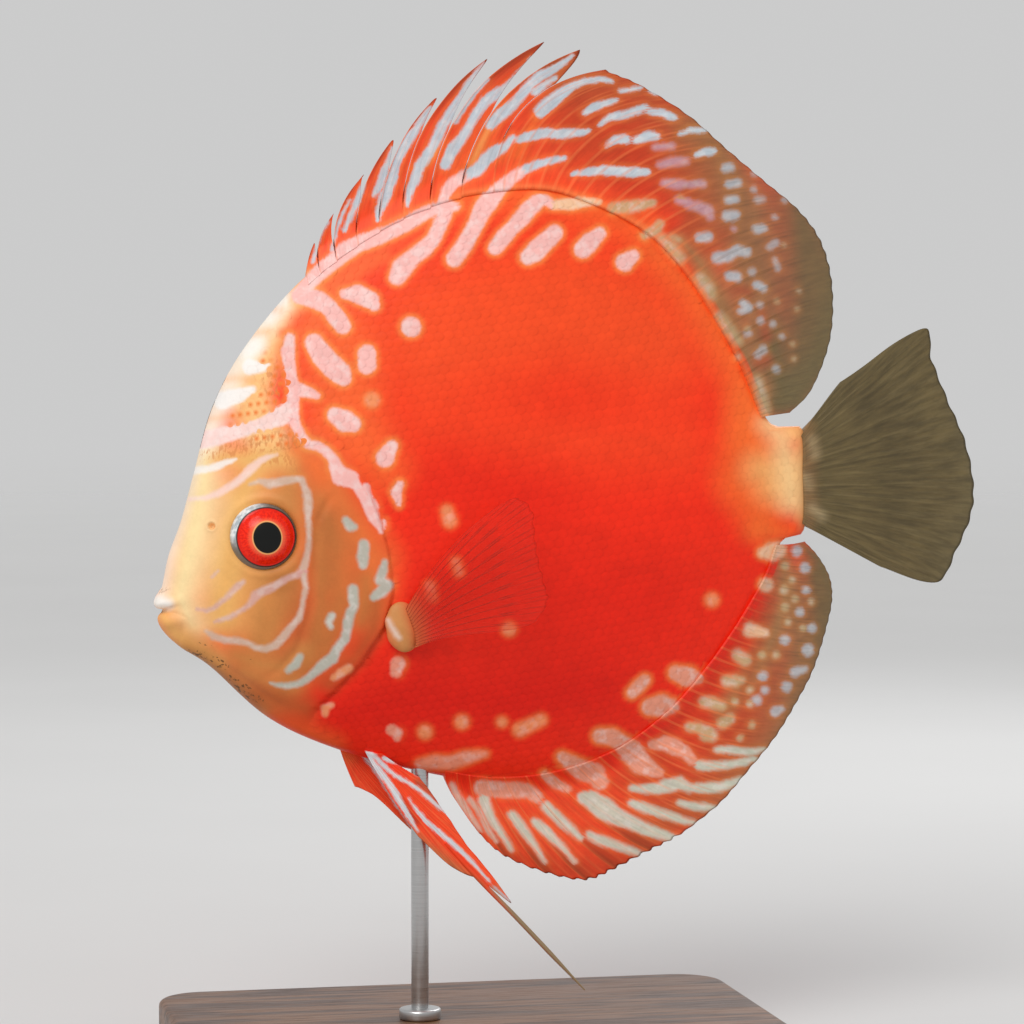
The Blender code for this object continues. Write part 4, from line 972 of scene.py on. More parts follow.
def paint_body(obj, heart=None, layers=()):
    """Notes ground and markings for every point of a piece of skin, coat or upright fin.

    heart is 1 in the middle of a scale and 0 at its edge, and layers is the ground of a fin.
    """
    points = points_of(obj)
    places = photo_place(points)
    x, _, z = to_fish(points).T
    distance, colour, strength, softness = nearest_marking(places, BODY_MARKS)
    ground = airbrush(places, np.tile(linear("flank red"), (len(points), 1)), BODY_GROUND)
    beyond = np.hypot(x, z) - rim_radius(np.arctan2(z, x))
    if layers:
        fin_colours = airbrush(places, ground, layers)
        blend = FIN_BLEND[0] + (FIN_BLEND[1] - FIN_BLEND[0]) * smooth((x - 12) / 26)
        ground = ground + (fin_colours - ground) * smooth(beyond / blend)[:, None]
    # A thin peach line just inside the upper rim, behind the head: painted light in the fold
    fold = FOLD_LIGHT * bell(beyond, -0.6, FOLD_WIDTH) * smooth((x + 20) / 10) * (z > 0)
    ground += (linear("stalk peach") - ground) * fold[:, None]
    on_back = smooth((z - 6) / 6) * smooth((x - FRINGE_START_X) / 6)
    on_flank = np.maximum(smooth((x - FLANK_START_X) / 6), on_back)
    fringe = smooth((FRINGE_REACH - distance) / FRINGE_REACH) * on_flank
    fringe = fringe * strength * (FRINGE_ON_FIN if layers else FRINGE_ON_SKIN)
    ground += (linear("fringe yellow") - ground) * fringe[:, None]
    if heart is not None:
        zone = np.max([smooth((3 - stroke_distance(places, s)) / 6) for s in SPECKLES], axis=0)
        spot = zone * smooth((heart - 0.35) / 0.3)
        ground += (linear("speckle orange") - ground) * spot[:, None]
        distance = distance + 30 * spot
    if not layers:
        dashed = np.max([smooth((4 - stroke_distance(places, s)) / 8) for s in DASHED], axis=0)
        note(obj, "dashed", dashed * smooth((distance - 0.5) / 2))
    note_paint(obj, ground, distance, colour, strength, softness)
    return places


skin_places = paint_body(skin)
freckle = np.zeros(len(skin_places))
for band in FRECKLES:
    freckle = np.maximum(freckle, smooth((2 - stroke_distance(skin_places, band)) / 4))
for across, down in SPECKS:
    away = stroke_distance(skin_places, [(across, down, 1)])
    freckle = np.maximum(freckle, 1.5 * smooth((0.8 - away) / 2))
note(skin, "freckle", freckle)
hand_over(
    skin, "head_skin", "head", "lower_jaw", "gill_cover_left", "gill_cover_right", "torso", "tail_stalk"
)


# %% [markdown]
# One paint serves skin, coat and upright fins. It reads the ground and the nearest marking that
# every point carries, makes the edge of the marking a little ragged, as the cells of real pigment
# are, and adds the fine mottle that keeps a flat colour from looking like plastic.

# %% The pigment, as a group that several materials share
PIGMENT_GRAIN = 1500.0
PIGMENT_DRIFT = 480.0
MOTTLE_GRAIN = 260.0
EDGE_RAGGED = 2.6
EDGE_DRIFT = 3.0
EDGE_SOFTER = 0.6


def join(tree, start, end):
    tree.links.new(start, end)


def add_node(tree, kind, **settings):
    node = tree.nodes.new(kind)
    for key, value in settings.items():
        setattr(node, key, value)
    return node


def noise_node(tree, place, scale, detail=3.0, roughness=0.55):
    node = add_node(tree, "ShaderNodeTexNoise")
    node.inputs["Scale"].default_value = scale
    node.inputs["Detail"].default_value = detail
    node.inputs["Roughness"].default_value = roughness
    join(tree, place, node.inputs["Vector"])
    return node.outputs["Fac"]


def mix_colours(tree, share, first, second, blend="MIX"):
    """A colour between two, by a share. What isn't a socket is a number or the name of a paint."""
    node = add_node(tree, "ShaderNodeMix", data_type="RGBA", blend_type=blend)
    for socket, value in ((node.inputs[0], share), (node.inputs[6], first), (node.inputs[7], second)):
        if isinstance(value, bpy.types.NodeSocket):
            join(tree, value, socket)
        else:
            socket.default_value = (*linear(value), 1.0) if isinstance(value, str) else value
    return node.outputs[2]


def do_maths(tree, operation, first, second):
    node = add_node(tree, "ShaderNodeMath", operation=operation)
    for socket, value in zip(node.inputs, (first, second)):
        if isinstance(value, bpy.types.NodeSocket):
            join(tree, value, socket)
        else:
            socket.default_value = value
    return node.outputs[0]


def times(tree, first, second):
    return do_maths(tree, "MULTIPLY", first, second)


def as_grey(tree, value):
    """A number as a grey of that lightness."""
    grey = add_node(tree, "ShaderNodeCombineColor")
    for socket in grey.inputs[:3]:
        join(tree, value, socket)
    return grey.outputs[0]


def own_place(tree, stretch=None):
    """The place on the piece itself, stretched along an axis where a stretch is given."""
    place = add_node(tree, "ShaderNodeTexCoord").outputs["Object"]
    return stretched(tree, place, stretch) if stretch else place


def stretched(tree, place, stretch):
    node = add_node(tree, "ShaderNodeMapping")
    node.inputs["Scale"].default_value = stretch
    join(tree, place, node.inputs["Vector"])
    return node.outputs["Vector"]


def remap(tree, value, low, high, new_low=0.0, new_high=1.0, soft=True):
    node = add_node(tree, "ShaderNodeMapRange", interpolation_type="SMOOTHSTEP" if soft else "LINEAR")
    join(tree, value, node.inputs["Value"])
    for key, number in (("From Min", low), ("From Max", high), ("To Min", new_low), ("To Max", new_high)):
        if isinstance(number, bpy.types.NodeSocket):
            join(tree, number, node.inputs[key])
        else:
            node.inputs[key].default_value = number
    return node.outputs["Result"]


def kept(tree, name):
    """What the mesh keeps at each point under a name: (the colour, the number)."""
    node = add_node(tree, "ShaderNodeAttribute", attribute_name=name)
    return node.outputs["Color"], node.outputs["Fac"]


def make_pigment():
    """Markings over a ground, with ragged edges and a fine mottle."""
    tree = bpy.data.node_groups.new("pigment", "ShaderNodeTree")
    for name, kind in (
        ("Ground", "NodeSocketColor"), ("Marking", "NodeSocketColor"), ("Distance", "NodeSocketFloat"),
        ("Strength", "NodeSocketFloat"), ("Softness", "NodeSocketFloat"), ("Place", "NodeSocketVector"),
    ):
        tree.interface.new_socket(name, in_out="INPUT", socket_type=kind)
    tree.interface.new_socket("Colour", in_out="OUTPUT", socket_type="NodeSocketColor")
    tree.interface.new_socket("Marked", in_out="OUTPUT", socket_type="NodeSocketFloat")
    given = add_node(tree, "NodeGroupInput")
    result = add_node(tree, "NodeGroupOutput")

    grain = noise_node(tree, given.outputs["Place"], PIGMENT_GRAIN, 4.0, 0.65)
    mottle = noise_node(tree, given.outputs["Place"], MOTTLE_GRAIN, 5.0, 0.6)
    drift = noise_node(tree, given.outputs["Place"], PIGMENT_DRIFT, 2.0)
    ragged = times(tree, do_maths(tree, "SUBTRACT", grain, 0.5), EDGE_RAGGED)
    drifted = times(tree, do_maths(tree, "SUBTRACT", drift, 0.5), EDGE_DRIFT)
    distance = do_maths(tree, "ADD", given.outputs["Distance"], do_maths(tree, "ADD", ragged, drifted))
    outer = do_maths(tree, "ADD", given.outputs["Softness"], EDGE_SOFTER)
    inner = times(tree, outer, -1.0)
    cover = remap(tree, distance, outer, inner)
    cover = times(tree, cover, given.outputs["Strength"])

    light = remap(tree, mottle, 0.3, 0.7, 0.96, 1.03)
    fine = remap(tree, grain, 0.25, 0.75, 0.97, 1.02)
    shade = as_grey(tree, times(tree, light, fine))
    light_share = remap(tree, drift, 0.42, 0.68, 0.0, 0.3)
    tones = mix_colours(tree, light_share, given.outputs["Marking"], "white")
    painted = mix_colours(tree, cover, given.outputs["Ground"], tones)
    join(tree, mix_colours(tree, 1.0, painted, shade, "MULTIPLY"), result.inputs["Colour"])
    join(tree, cover, result.inputs["Marked"])
    return tree


pigment = make_pigment()


def new_material(name, roughness, coat=0.0, coat_roughness=0.2, specular=0.5):
    made = bpy.data.materials.new(name)
    made.use_nodes = True
    shader = made.node_tree.nodes["Principled BSDF"]
    shader.inputs["Roughness"].default_value = roughness
    shader.inputs["Coat Weight"].default_value = coat
    shader.inputs["Coat Roughness"].default_value = coat_roughness
    shader.inputs["Specular IOR Level"].default_value = specular
    return made, made.node_tree, shader


def place_pigment(tree, extra=0.0):
    """The pigment group, wired to what the mesh keeps: (colour, how much is marked, place).

    extra is added to the distance from the nearest marking.
    """
    place = own_place(tree)
    group = add_node(tree, "ShaderNodeGroup", node_tree=pigment)
    wires = {
        "Ground": kept(tree, "ground")[0], "Marking": kept(tree, "mark_colour")[0],
        "Distance": do_maths(tree, "ADD", kept(tree, "mark_distance")[1], extra),
        "Strength": kept(tree, "mark_strength")[1], "Softness": kept(tree, "mark_softness")[1],
        "Place": place,
    }
    for label, socket in wires.items():
        join(tree, socket, group.inputs[label])
    return group.outputs["Colour"], group.outputs["Marked"], place


def add_bump(tree, shader, height, strength, distance):
    bump = add_node(tree, "ShaderNodeBump")
    bump.inputs["Strength"].default_value = strength
    bump.inputs["Distance"].default_value = distance
    join(tree, height, bump.inputs["Height"])
    join(tree, bump.outputs["Normal"], shader.inputs["Normal"])


print("pigment nodes:", len(pigment.nodes))

# %% [markdown]
# A museum model is painted and sealed with a thin matt varnish, so the skin has a faint coat over
# fine pores and shallow folds. Dashes and freckles are noise, let through where the mesh says so.

# %% Skin material
def dashes(tree, colour, place):
    """The short brown dashes of the nape, one above the other like the scales under them."""
    crowd = noise_node(tree, stretched(tree, place, (1.0, 1.0, 0.45)), 2000.0, 1.0)
    share = times(tree, remap(tree, crowd, 0.49, 0.62), kept(tree, "dashed")[1])
    return mix_colours(tree, times(tree, share, 0.6), colour, "speckle brown")


skin_paint, tree, shader = new_material("painted skin", 0.5, 0.08, 0.3, 0.2)
colour, marked, place = place_pigment(tree)
colour = dashes(tree, colour, place)
crowd = times(tree, do_maths(tree, "SUBTRACT", kept(tree, "freckle")[1], 1.0), 0.45)
crowd = do_maths(tree, "ADD", crowd, noise_node(tree, place, 1250.0, 2.0))
freckle = remap(tree, crowd, 0.53, 0.63)
colour = mix_colours(tree, times(tree, freckle, 0.8), colour, "freckle brown")
join(tree, colour, shader.inputs["Base Color"])
pores = noise_node(tree, place, 2600.0, 2.0)
folds = noise_node(tree, place, 420.0, 3.0)
height = do_maths(tree, "ADD", pores, times(tree, folds, 1.5))
add_bump(tree, shader, height, 0.35, 0.00008)
skin.data.materials.append(skin_paint)
print("skin nodes:", len(tree.nodes))

# %% [markdown]
# Scales lie over the skin like roof tiles: rooted in front, free behind, each over the front of
# the next. One is modelled from a disc: an inset ring and a raised middle give it its
# dome, and its open rim is closed below, so that it is a real, thin solid of a few dozen faces.

# %% Model one scale
SCALE_CORNERS = 12
SCALE_DOME = 0.05
SCALE_TILT = 0.07
SCALE_LIFT = 0.05

select_only()
bpy.ops.mesh.primitive_circle_add(vertices=SCALE_CORNERS, radius=1.0, fill_type="NGON")
one_scale = just_made("one_scale")
bpy.ops.object.mode_set(mode="EDIT")
bpy.ops.mesh.select_mode(type="FACE")
bpy.ops.mesh.select_all(action="SELECT")
bpy.ops.mesh.inset(thickness=0.4)
bpy.ops.mesh.poke()
bpy.ops.mesh.select_mode(type="EDGE")
bpy.ops.mesh.select_all(action="DESELECT")
bpy.ops.mesh.select_non_manifold(extend=False)
bpy.ops.mesh.edge_face_add()
bpy.ops.mesh.select_all(action="SELECT")
bpy.ops.mesh.normals_make_consistent(inside=False)
bpy.ops.object.mode_set(mode="OBJECT")
SCALE_PLAN = points_of(one_scale)
SCALE_FACES = [list(face.vertices) for face in one_scale.data.polygons]
FROM_MIDDLE = np.hypot(SCALE_PLAN[:, 0], SCALE_PLAN[:, 1])
SCALE_HEIGHT = SCALE_LIFT + SCALE_TILT * SCALE_PLAN[:, 0] + SCALE_DOME * (1 - FROM_MIDDLE**2)
if sum(one_scale.data.polygons[k].normal.z for k in range(len(SCALE_FACES))) < 0:
    SCALE_FACES = [face[::-1] for face in SCALE_FACES]
bpy.data.objects.remove(one_scale)
print("a scale has", len(SCALE_FACES), "faces and", len(SCALE_PLAN), "points")

# %% [markdown]
# The places of the scales form a lattice of slanting rows, as on the fish: about 2 mm apart on
# the flank and closer towards the nape, the belly and the tail. Snout, cheek and gill cover stay
# bare. Every scale is set on the skin where a straight look from the side meets it, and points
# backwards along the skin, turning with the back and the belly near the rim.

# %% Where the scales are rooted
SCALE_PITCH = 2.0
SCALE_ROW = 1.72
BARE_RIM = 2.2
BARE_FOREHEAD = 3.5
BARE_STALK = 3.4
STALK_START = 56.0
BARE_GILL = 0.9
SCALED_NAPE_DOWN = 446.0


def spread(low, high, pitch_at):
    """Places from low to high, each a local pitch behind the last."""
    places = [low]
    while places[-1] < high:
        places.append(places[-1] + pitch_at(places[-1]))
    return np.array(places)


def column_pitch(x):
    return SCALE_PITCH * (0.72 + 0.28 * smooth((x + 50) / 30) - 0.14 * smooth((x - 30) / 30))


def row_pitch(z):
    return SCALE_ROW * (0.78 + 0.22 * bell(z, 3, 42))


def scale_roots():
    """Rows of (x, z, size) for the scales of one flank, in the fish's own millimetres."""
    columns = spread(-62.0, 70.0, column_pitch)
    pitch = np.diff(columns)
    found = []
    for index, z in enumerate(spread(-60.0, 60.0, row_pitch)):
        x = columns[:-1] + (pitch / 2 if index % 2 else 0)
        size = pitch / SCALE_PITCH
        found.append(np.stack([x, np.full(len(x), z), size, np.full(len(x), row_pitch(z))], axis=1))
    roots = np.concatenate(found)
    x, z = roots[:, 0], roots[:, 1]
    rim = rim_radius(np.arctan2(z, x))
    inside = np.hypot(x, z) < rim - BARE_RIM
    inside &= (x < STALK_START) | (np.hypot(x, z) < rim - BARE_STALK)
    from_gill, side, _ = line_distance(roots[:, :2], GILL_EDGE)
    behind_gill = (side > 0) & (from_gill > BARE_GILL)
    place = photo_place(to_world(np.stack([x, -skin_half(x, z), z], axis=1)))
    above_eye = (place[:, 1] < SCALED_NAPE_DOWN) & (np.hypot(x, z) < rim - BARE_FOREHEAD)
    return roots[inside & (behind_gill | above_eye)]


scale_rooms = scale_roots()
print("scales on a side:", len(scale_rooms))

# %% Lay the scales on both flanks
SCALE_HALF_LENGTH = 0.78
SCALE_HALF_WIDTH = 0.66
UNWRAP_PATCH = 0.003
UNWRAP_REACH = 0.49
# A place well outside the fish, from which a straight look meets the flank
BESIDE = 40.0
rng = np.random.default_rng(7)

skin_tree = BVHTree.FromObject(skin, bpy.context.evaluated_depsgraph_get())
along_ray_x = EYE_CENTRE[0] + REACH * np.cos(RAY_ANGLES)[:, None]
along_ray_z = EYE_CENTRE[2] + REACH * np.sin(RAY_ANGLES)[:, None]
along_ray_y = skin_half(along_ray_x, along_ray_z)
step = np.hypot(np.hypot(np.diff(along_ray_x), np.diff(along_ray_z)), np.diff(along_ray_y))
LAID_OUT = np.concatenate([np.zeros((SKIN_RAYS, 1)), np.cumsum(step, axis=1)], axis=1)
LAID_OUT *= UNWRAP_REACH / LAID_OUT.max()


def unwrap(x, z):
    """Where places of the flank lie when the skin is laid out flat round the eye."""
    angle = np.arctan2(z - EYE_CENTRE[2], x - EYE_CENTRE[0]) % math.tau
    gone = np.hypot(x - EYE_CENTRE[0], z - EYE_CENTRE[2])
    ray = np.clip(np.searchsorted(RAY_ANGLES, angle), 0, SKIN_RAYS - 1)
    out = np.array([np.interp(g, REACH[k], LAID_OUT[k]) for g, k in zip(gone, ray)])
    return np.stack([0.5 + out * np.cos(angle), 0.5 + out * np.sin(angle)], axis=1)


def backwards(x, z):
    """Where a scale points, in the fish's own space: to the tail, and along the rim near it."""
    turn = math.copysign(0.7 * float(inward_share(x, z)) ** 5, z)
    angle = math.atan2(z, x)
    along = np.array([1 - abs(turn) + turn * math.sin(angle), 0.0, -turn * math.cos(angle)])
    return Vector((along[0] * DIP_COS - along[2] * DIP_SIN, 0.0, along[0] * DIP_SIN + along[2] * DIP_COS))


def lay_scales(name, side):
    """One joined coat of scales on a flank: side is -1 for the left."""
    places, faces, shades, roots = [], [], [], []
    for x, z, size, row in scale_rooms:
        start = Vector(to_world([(x, side * BESIDE, z)])[0])
        spot, normal, _, _ = skin_tree.ray_cast(start, Vector((0.0, -side, 0.0)))
        if spot is None or abs(normal.y) < 0.3:
            continue
        rear = backwards(x, z)
        along = (rear - normal * rear.dot(normal)).normalized()
        across = normal.cross(along)
        tilt = size * (1 + 0.3 * (rng.random() - 0.5))
        long = SCALE_PITCH * size * SCALE_HALF_LENGTH
        wide = row * SCALE_HALF_WIDTH / max(abs(normal.y), 0.6)
        shape = np.outer(SCALE_PLAN[:, 0] * long, along) + np.outer(SCALE_PLAN[:, 1] * wide, across)
        shape += np.outer(SCALE_HEIGHT * tilt, normal)
        offset = len(places) * len(SCALE_PLAN)
        places.append(np.array(spot) + shape * MM)
        faces.extend([[corner + offset for corner in face] for face in SCALE_FACES])
        shades.append(np.full(len(SCALE_PLAN), rng.random()))
        roots.append((x, z))
    mesh = bpy.data.meshes.new(name)
    mesh.from_pydata(np.concatenate(places).tolist(), [], faces)
    coat = bpy.data.objects.new(name, mesh)
    bpy.context.scene.collection.objects.link(coat)
    select_only(coat)
    bpy.ops.object.shade_smooth_by_angle(angle=math.radians(60))
    centres = unwrap(*np.array(roots).T)
    patch = np.tile(SCALE_PLAN[:, :2] * UNWRAP_PATCH / 2, (len(roots), 1))
    flat = np.repeat(centres, len(SCALE_PLAN), axis=0) + patch
    corners = np.empty(len(mesh.loops), np.int32)
    mesh.loops.foreach_get("vertex_index", corners)
    mesh.uv_layers.new(name="OFBake").data.foreach_set("uv", flat[corners].ravel())
    heart = np.tile(1 - FROM_MIDDLE, len(roots))
    paint_body(coat, heart)
    note(coat, "heart", heart)
    note(coat, "shade", np.concatenate(shades))
    hand_over(coat, "flank_skin")
    return coat


coats = [lay_scales("scales_left", -1), lay_scales("scales_right", 1)]

# %% [markdown]
# The scales wear the paint of the skin. Each is a shade lighter or darker than the next, and its
# rim is painted darker than its middle, as painted shade that brings out the tiles. The mesh keeps
# both: noise wouldn't know where a scale ends.

# %% Scale material
scale_paint, tree, shader = new_material("painted scales", 0.5, 0.05, 0.35, 0.18)
colour, marked, place = place_pigment(tree)
colour = dashes(tree, colour, place)
heart = kept(tree, "heart")[1]
shade = kept(tree, "shade")[1]
# The rim of each scale is painted darker than its middle: painted shade that brings out the tiles
edge = remap(tree, heart, 0.02, 0.3, 0.97, 1.0)
tone_and_rim_shade = as_grey(tree, times(tree, edge, remap(tree, shade, 0.0, 1.0, 0.97, 1.03, False)))
join(tree, mix_colours(tree, 1.0, colour, tone_and_rim_shade, "MULTIPLY"), shader.inputs["Base Color"])
rings = noise_node(tree, place, 2400.0, 2.0)
add_bump(tree, shader, rings, 0.3, 0.00006)
for coat in coats:
    coat.data.materials.append(scale_paint)
print("scale nodes:", len(tree.nodes))

# %% [markdown]
# The eye of the model is a glass one: a ball pressed flat, with a red iris painted behind the
# clear front, a black pupil that is a little taller than wide, and a grey rim that is painted
# silver and white in front above, as a painted highlight of the light from above.
# The rings of the ball are pushed by a formula, so that the iris lies in a shallow dish, and
# every point keeps its distance from the pupil for the paint.

# %% Model the eyes
EYE_RAYS = 128
EYE_RINGS = 120
PUPIL_HALF = (2.75, 3.05)
IRIS_RADIUS = 5.7
EYE_FIT = 0.985
LIT_CRESCENT_ANGLE = math.radians(135.0)


def model_eye(name, node, side):
    low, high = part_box(node)
    centre = to_fish([(low + high) / 2])[0]
    select_only()
    bpy.ops.mesh.primitive_uv_sphere_add(
        segments=EYE_RAYS, ring_count=EYE_RINGS, radius=1.0, rotation=(math.pi / 2, 0, 0)
    )
    eye = just_made(name)
    x, y, z = points_of(eye).T
    gone = np.hypot(x, z) * EYE_RADIUS
    outer = y * side > 0
    form = 0.16 * bell(gone, IRIS_RADIUS + 0.2, 0.3) - 0.1 * bell(gone, IRIS_RADIUS - 0.4, 0.35)
    form += 0.2 * smooth((IRIS_RADIUS - gone) / 2.5) - 0.2
    depth = y * EYE_HALF_DEPTH + np.where(outer, side * form, 0.0)
    level = np.stack([x * EYE_RADIUS, depth, z * EYE_RADIUS], axis=1) * EYE_FIT
    set_points(eye, to_world(level + centre))
    face_outwards(eye)
    angle = np.arctan2(z, x)
    note(eye, "from_pupil", np.hypot(x * EYE_RADIUS / PUPIL_HALF[0], z * EYE_RADIUS / PUPIL_HALF[1]))
    note(eye, "from_middle", gone)
    note(eye, "round", np.stack([np.cos(angle), np.sin(angle), gone / EYE_RADIUS], axis=1) * 0.5 + 0.5)
    # The upper front of the rim gets the silver and white: a painted highlight of the light from above
    note(eye, "lit_crescent", np.where(outer, bell(angle_from(angle, LIT_CRESCENT_ANGLE), 0, 0.95), 0.0))
    hand_over(eye, "eye", node)
    return eye


eyes = [model_eye("fish_eye_left", "eye_left", -1), model_eye("fish_eye_right", "eye_right", 1)]

# %% [markdown]
# The iris glows next to the pupil and deepens outwards, with fine streaks, in a grey rim whose
# front above is a painted highlight of silver and white. Each ring is a step on the distance that
# the mesh keeps, which stays round where an image would blur.

# %% Eye material
eye_paint, tree, shader = new_material("painted glass eye", 0.3, 0.3, 0.03, 0.1)
from_pupil = kept(tree, "from_pupil")[1]
from_middle = kept(tree, "from_middle")[1]
around = kept(tree, "round")[0]
lit_crescent = kept(tree, "lit_crescent")[1]
streaks = noise_node(tree, around, 26.0, 3.0)
flecks = noise_node(tree, own_place(tree), 900.0, 3.0)
iris = mix_colours(tree, remap(tree, streaks, 0.35, 0.65), "iris red", "iris deep")
iris = mix_colours(tree, remap(tree, from_middle, 3.2, 4.2, 0.6, 0.0), iris, "iris glow")
iris = mix_colours(tree, remap(tree, from_middle, 4.9, 5.6, 0.0, 0.7), iris, "iris deep")
iris = mix_colours(tree, remap(tree, from_pupil, 1.14, 1.06), iris, "pupil ring")
iris = mix_colours(tree, remap(tree, from_pupil, 1.04, 0.99), iris, "pupil")
# Silver flecked with white at the upper front of the rim is a painted highlight over its grey
silver = mix_colours(tree, remap(tree, flecks, 0.35, 0.65), "eye silver", "eye white")
outside = mix_colours(tree, remap(tree, lit_crescent, 0.25, 0.7), "eye grey", silver)
outside_iris = remap(tree, from_middle, IRIS_RADIUS - 0.1, IRIS_RADIUS + 0.1)
seen = mix_colours(tree, outside_iris, iris, "eye line")
seen = mix_colours(tree, remap(tree, from_middle, IRIS_RADIUS + 0.15, IRIS_RADIUS + 0.35), seen, outside)
join(tree, seen, shader.inputs["Base Color"])
add_bump(tree, shader, streaks, 0.1, 0.00005)
for eye in eyes:
    eye.data.materials.append(eye_paint)
print("eye nodes:", len(tree.nodes))

# %% [markdown]
# A fin is one thin sheet with its rays raised in both of its faces. It starts as a flat grid whose
# columns run out along the rays and whose rows go from root to edge. The grid is fanned out over
# the roots and tips that the solids have, given half its thickness, and mirrored to the other
# face, so that the two meet in a sharp edge. At its root it flares into the flesh it grows from.

# %% Shape a fin from a grid
ROOT_SINK = 1.6
WEB_HALF = 0.13
RAY_HALF = 0.26
SPINE_HALF = 0.4
ROOT_FLARE = (2.75, 6.4)
# A web is cut from the next ray where their reaches differ by more than this share
TORN = 0.15
TEAR_START = 3.6
FIN_HEIGHTS = np.concatenate([[0.0], np.linspace(0.01, 1.0, 52)])
SOFT_STEPS = 7


def rim_place(angles, away):
    """Places on the outline of the flesh, moved straight out from it (or in, below 0)."""
    ahead = 0.004
    radius, further = rim_radius(angles), rim_radius(angles + ahead)
    place = np.stack([radius * np.cos(angles), radius * np.sin(angles)], axis=1)
    along = np.stack([further * np.cos(angles + ahead), further * np.sin(angles + ahead)], axis=1) - place
    along /= np.linalg.norm(along, axis=1)[:, None]
    return place + away * np.stack([along[:, 1], -along[:, 0]], axis=1)


def branches(phase, out, split, apart, width):
    """1 on the rays and 0 between them. Each ray parts in two beyond a share of its length."""
    apart = apart * smooth((out - split) / (1 - split))
    near = np.zeros(np.broadcast(phase, out).shape)
    for centre in (0.0, 1.0):
        for turn in (-1, 1):
            near = np.maximum(near, bell(phase, centre + turn * apart, width * (1 - 0.3 * out)))
    return near


def cut_slots(fin, i, j, apart):
    """Takes out the faces between a column that stops at a slot and the one that runs on."""
    bpy.ops.object.mode_set(mode="EDIT")
    bpy.ops.mesh.select_mode(type="FACE")
    bpy.ops.mesh.select_all(action="DESELECT")
    bpy.ops.object.mode_set(mode="OBJECT")
    for face in fin.data.polygons:
        corners = list(face.vertices)
        face.select = bool(apart[i[corners].min(), j[corners].max()])
    bpy.ops.object.mode_set(mode="EDIT")
    bpy.ops.mesh.delete(type="FACE")
    bpy.ops.object.mode_set(mode="OBJECT")


def shape_fin(name, rows, places, reach, half, bow, on_rim, middle, flare, kept_values):
    """A fin whose columns stand at places along its rows, each reaching a share of its ray.

    half is half the thickness for every column and row, bow how far the ray of each row leans
    forward on its way, middle the distance of the sheet from the mid-plane, and flare half the
    thickness at the root and how far out it falls away. Each of the kept values, one for every
    column and row, is noted on both faces.
    """
    last_column, last_row = half.shape[0] - 1, half.shape[1] - 1
    select_only()
    bpy.ops.mesh.primitive_grid_add(x_subdivisions=last_column, y_subdivisions=last_row, size=2.0)
    fin = just_made(name)
    flat = points_of(fin)
    i = np.rint((flat[:, 0] + 1) / 2 * last_column).astype(int)
    j = np.rint((flat[:, 1] + 1) / 2 * last_row).astype(int)
    read = spline(rows, places)
    roots, tips = read[:, :2], read[:, 2:]
    if on_rim:
        roots = rim_place(np.arctan2(roots[:, 1], roots[:, 0]), -ROOT_SINK)
    along = tips - roots
    lean = np.stack([-along[:, 1], along[:, 0]], axis=1)
    lean *= np.interp(places, np.linspace(0, 1, len(bow)), bow)[:, None]
    share = reach[:, None] * FIN_HEIGHTS[None, :]
    gone = share * np.linalg.norm(along, axis=1)[:, None]
    half = np.maximum(half, flare[0] * np.clip(1 - gone / flare[1], 0, 1) ** 2)
    out = share[i, j][:, None]
    place = roots[i] + along[i] * out + lean[i] * 4 * out * (1 - out)
    jump = np.abs(np.diff(reach)) * (np.abs(np.diff(reach)) > TORN)
    apart = jump[:, None] * np.linalg.norm(along[:-1], axis=1)[:, None] * FIN_HEIGHTS[None, :] > TEAR_START
    torn = np.zeros(share.shape, bool)
    torn[:-1] |= apart
    torn[1:] |= apart
    border = (i == 0) | (i == last_column) | (j == 0) | (j == last_row) | torn[i, j]
    depth = np.where(border, 0.0, half[i, j])
    set_points(fin, np.stack([place[:, 0], -depth, place[:, 1]], axis=1) * MM)
    if apart.any():
        cut_slots(fin, i, j, apart)
    mirror = fin.modifiers.new("other face", "MIRROR")
    mirror.use_axis = (False, True, False)
    mirror.merge_threshold = 0.005 * MM
    bpy.ops.object.modifier_apply(modifier=mirror.name)
    level = points_of(fin) / MM
    level[:, 1] += middle(level[:, 0], level[:, 2])
    set_points(fin, to_world(level))
    face_outwards(fin)
    for label, values in kept_values.items():
        one_face = values[i, j]
        note(fin, label, np.concatenate([one_face, one_face[~border]]))
    return fin


print("rows from root to edge of a fin:", len(FIN_HEIGHTS))

# %% [markdown]
# The rows of roots and tips are those of the solids. Behind each of the spines of the dorsal the
# web falls in a curve to a deep, narrow slot before the next, so its front half is a row of
# pointed flaps that lean back, and the anal fin has a fine comb. Behind them come the soft rays,
# each parted in two towards the edge.

# %% The dorsal and the anal fin
DORSAL_SPINES = [
    (-29.6, 46.0, -26.2, 53.2), (-26.8, 48.2, -21.6, 58.3), (-23.2, 50.4, -14.6, 64.9),
    (-18.6, 52.6, -8.1, 71.0), (-13.8, 54.8, 1.6, 78.1), (-8.6, 56.8, 13.4, 84.6),
    (-2.8, 58.3, 25.5, 86.5), (3.8, 59.2, 32.4, 84.0), (10.5, 59.5, 37.1, 79.4),
]
DORSAL_SOFT = [
    (16.5, 59.0, 43.6, 75.6), (24.5, 57.5, 52.9, 68.3), (32.5, 54.0, 60.0, 60.5),
    (40.0, 48.5, 67.0, 53.0), (45.5, 41.5, 73.0, 46.6), (50.5, 34.0, 76.9, 39.8),
    (54.0, 25.5, 78.2, 32.0), (56.8, 18.5, 77.1, 23.5), (58.9, 12.6, 74.6, 16.0),
    (60.1, 8.9, 70.5, 9.6), (60.7, 6.6, 65.6, 6.0),
]
DORSAL_BOW = [
    0.06, 0.12, 0.13, 0.095, 0.1, 0.127, 0.147, 0.15, 0.2, 0.17, 0.14, 0.11, 0.09, 0.07, 0.06, 0.05,
    0.04, 0.03, 0.02, 0.0,
]
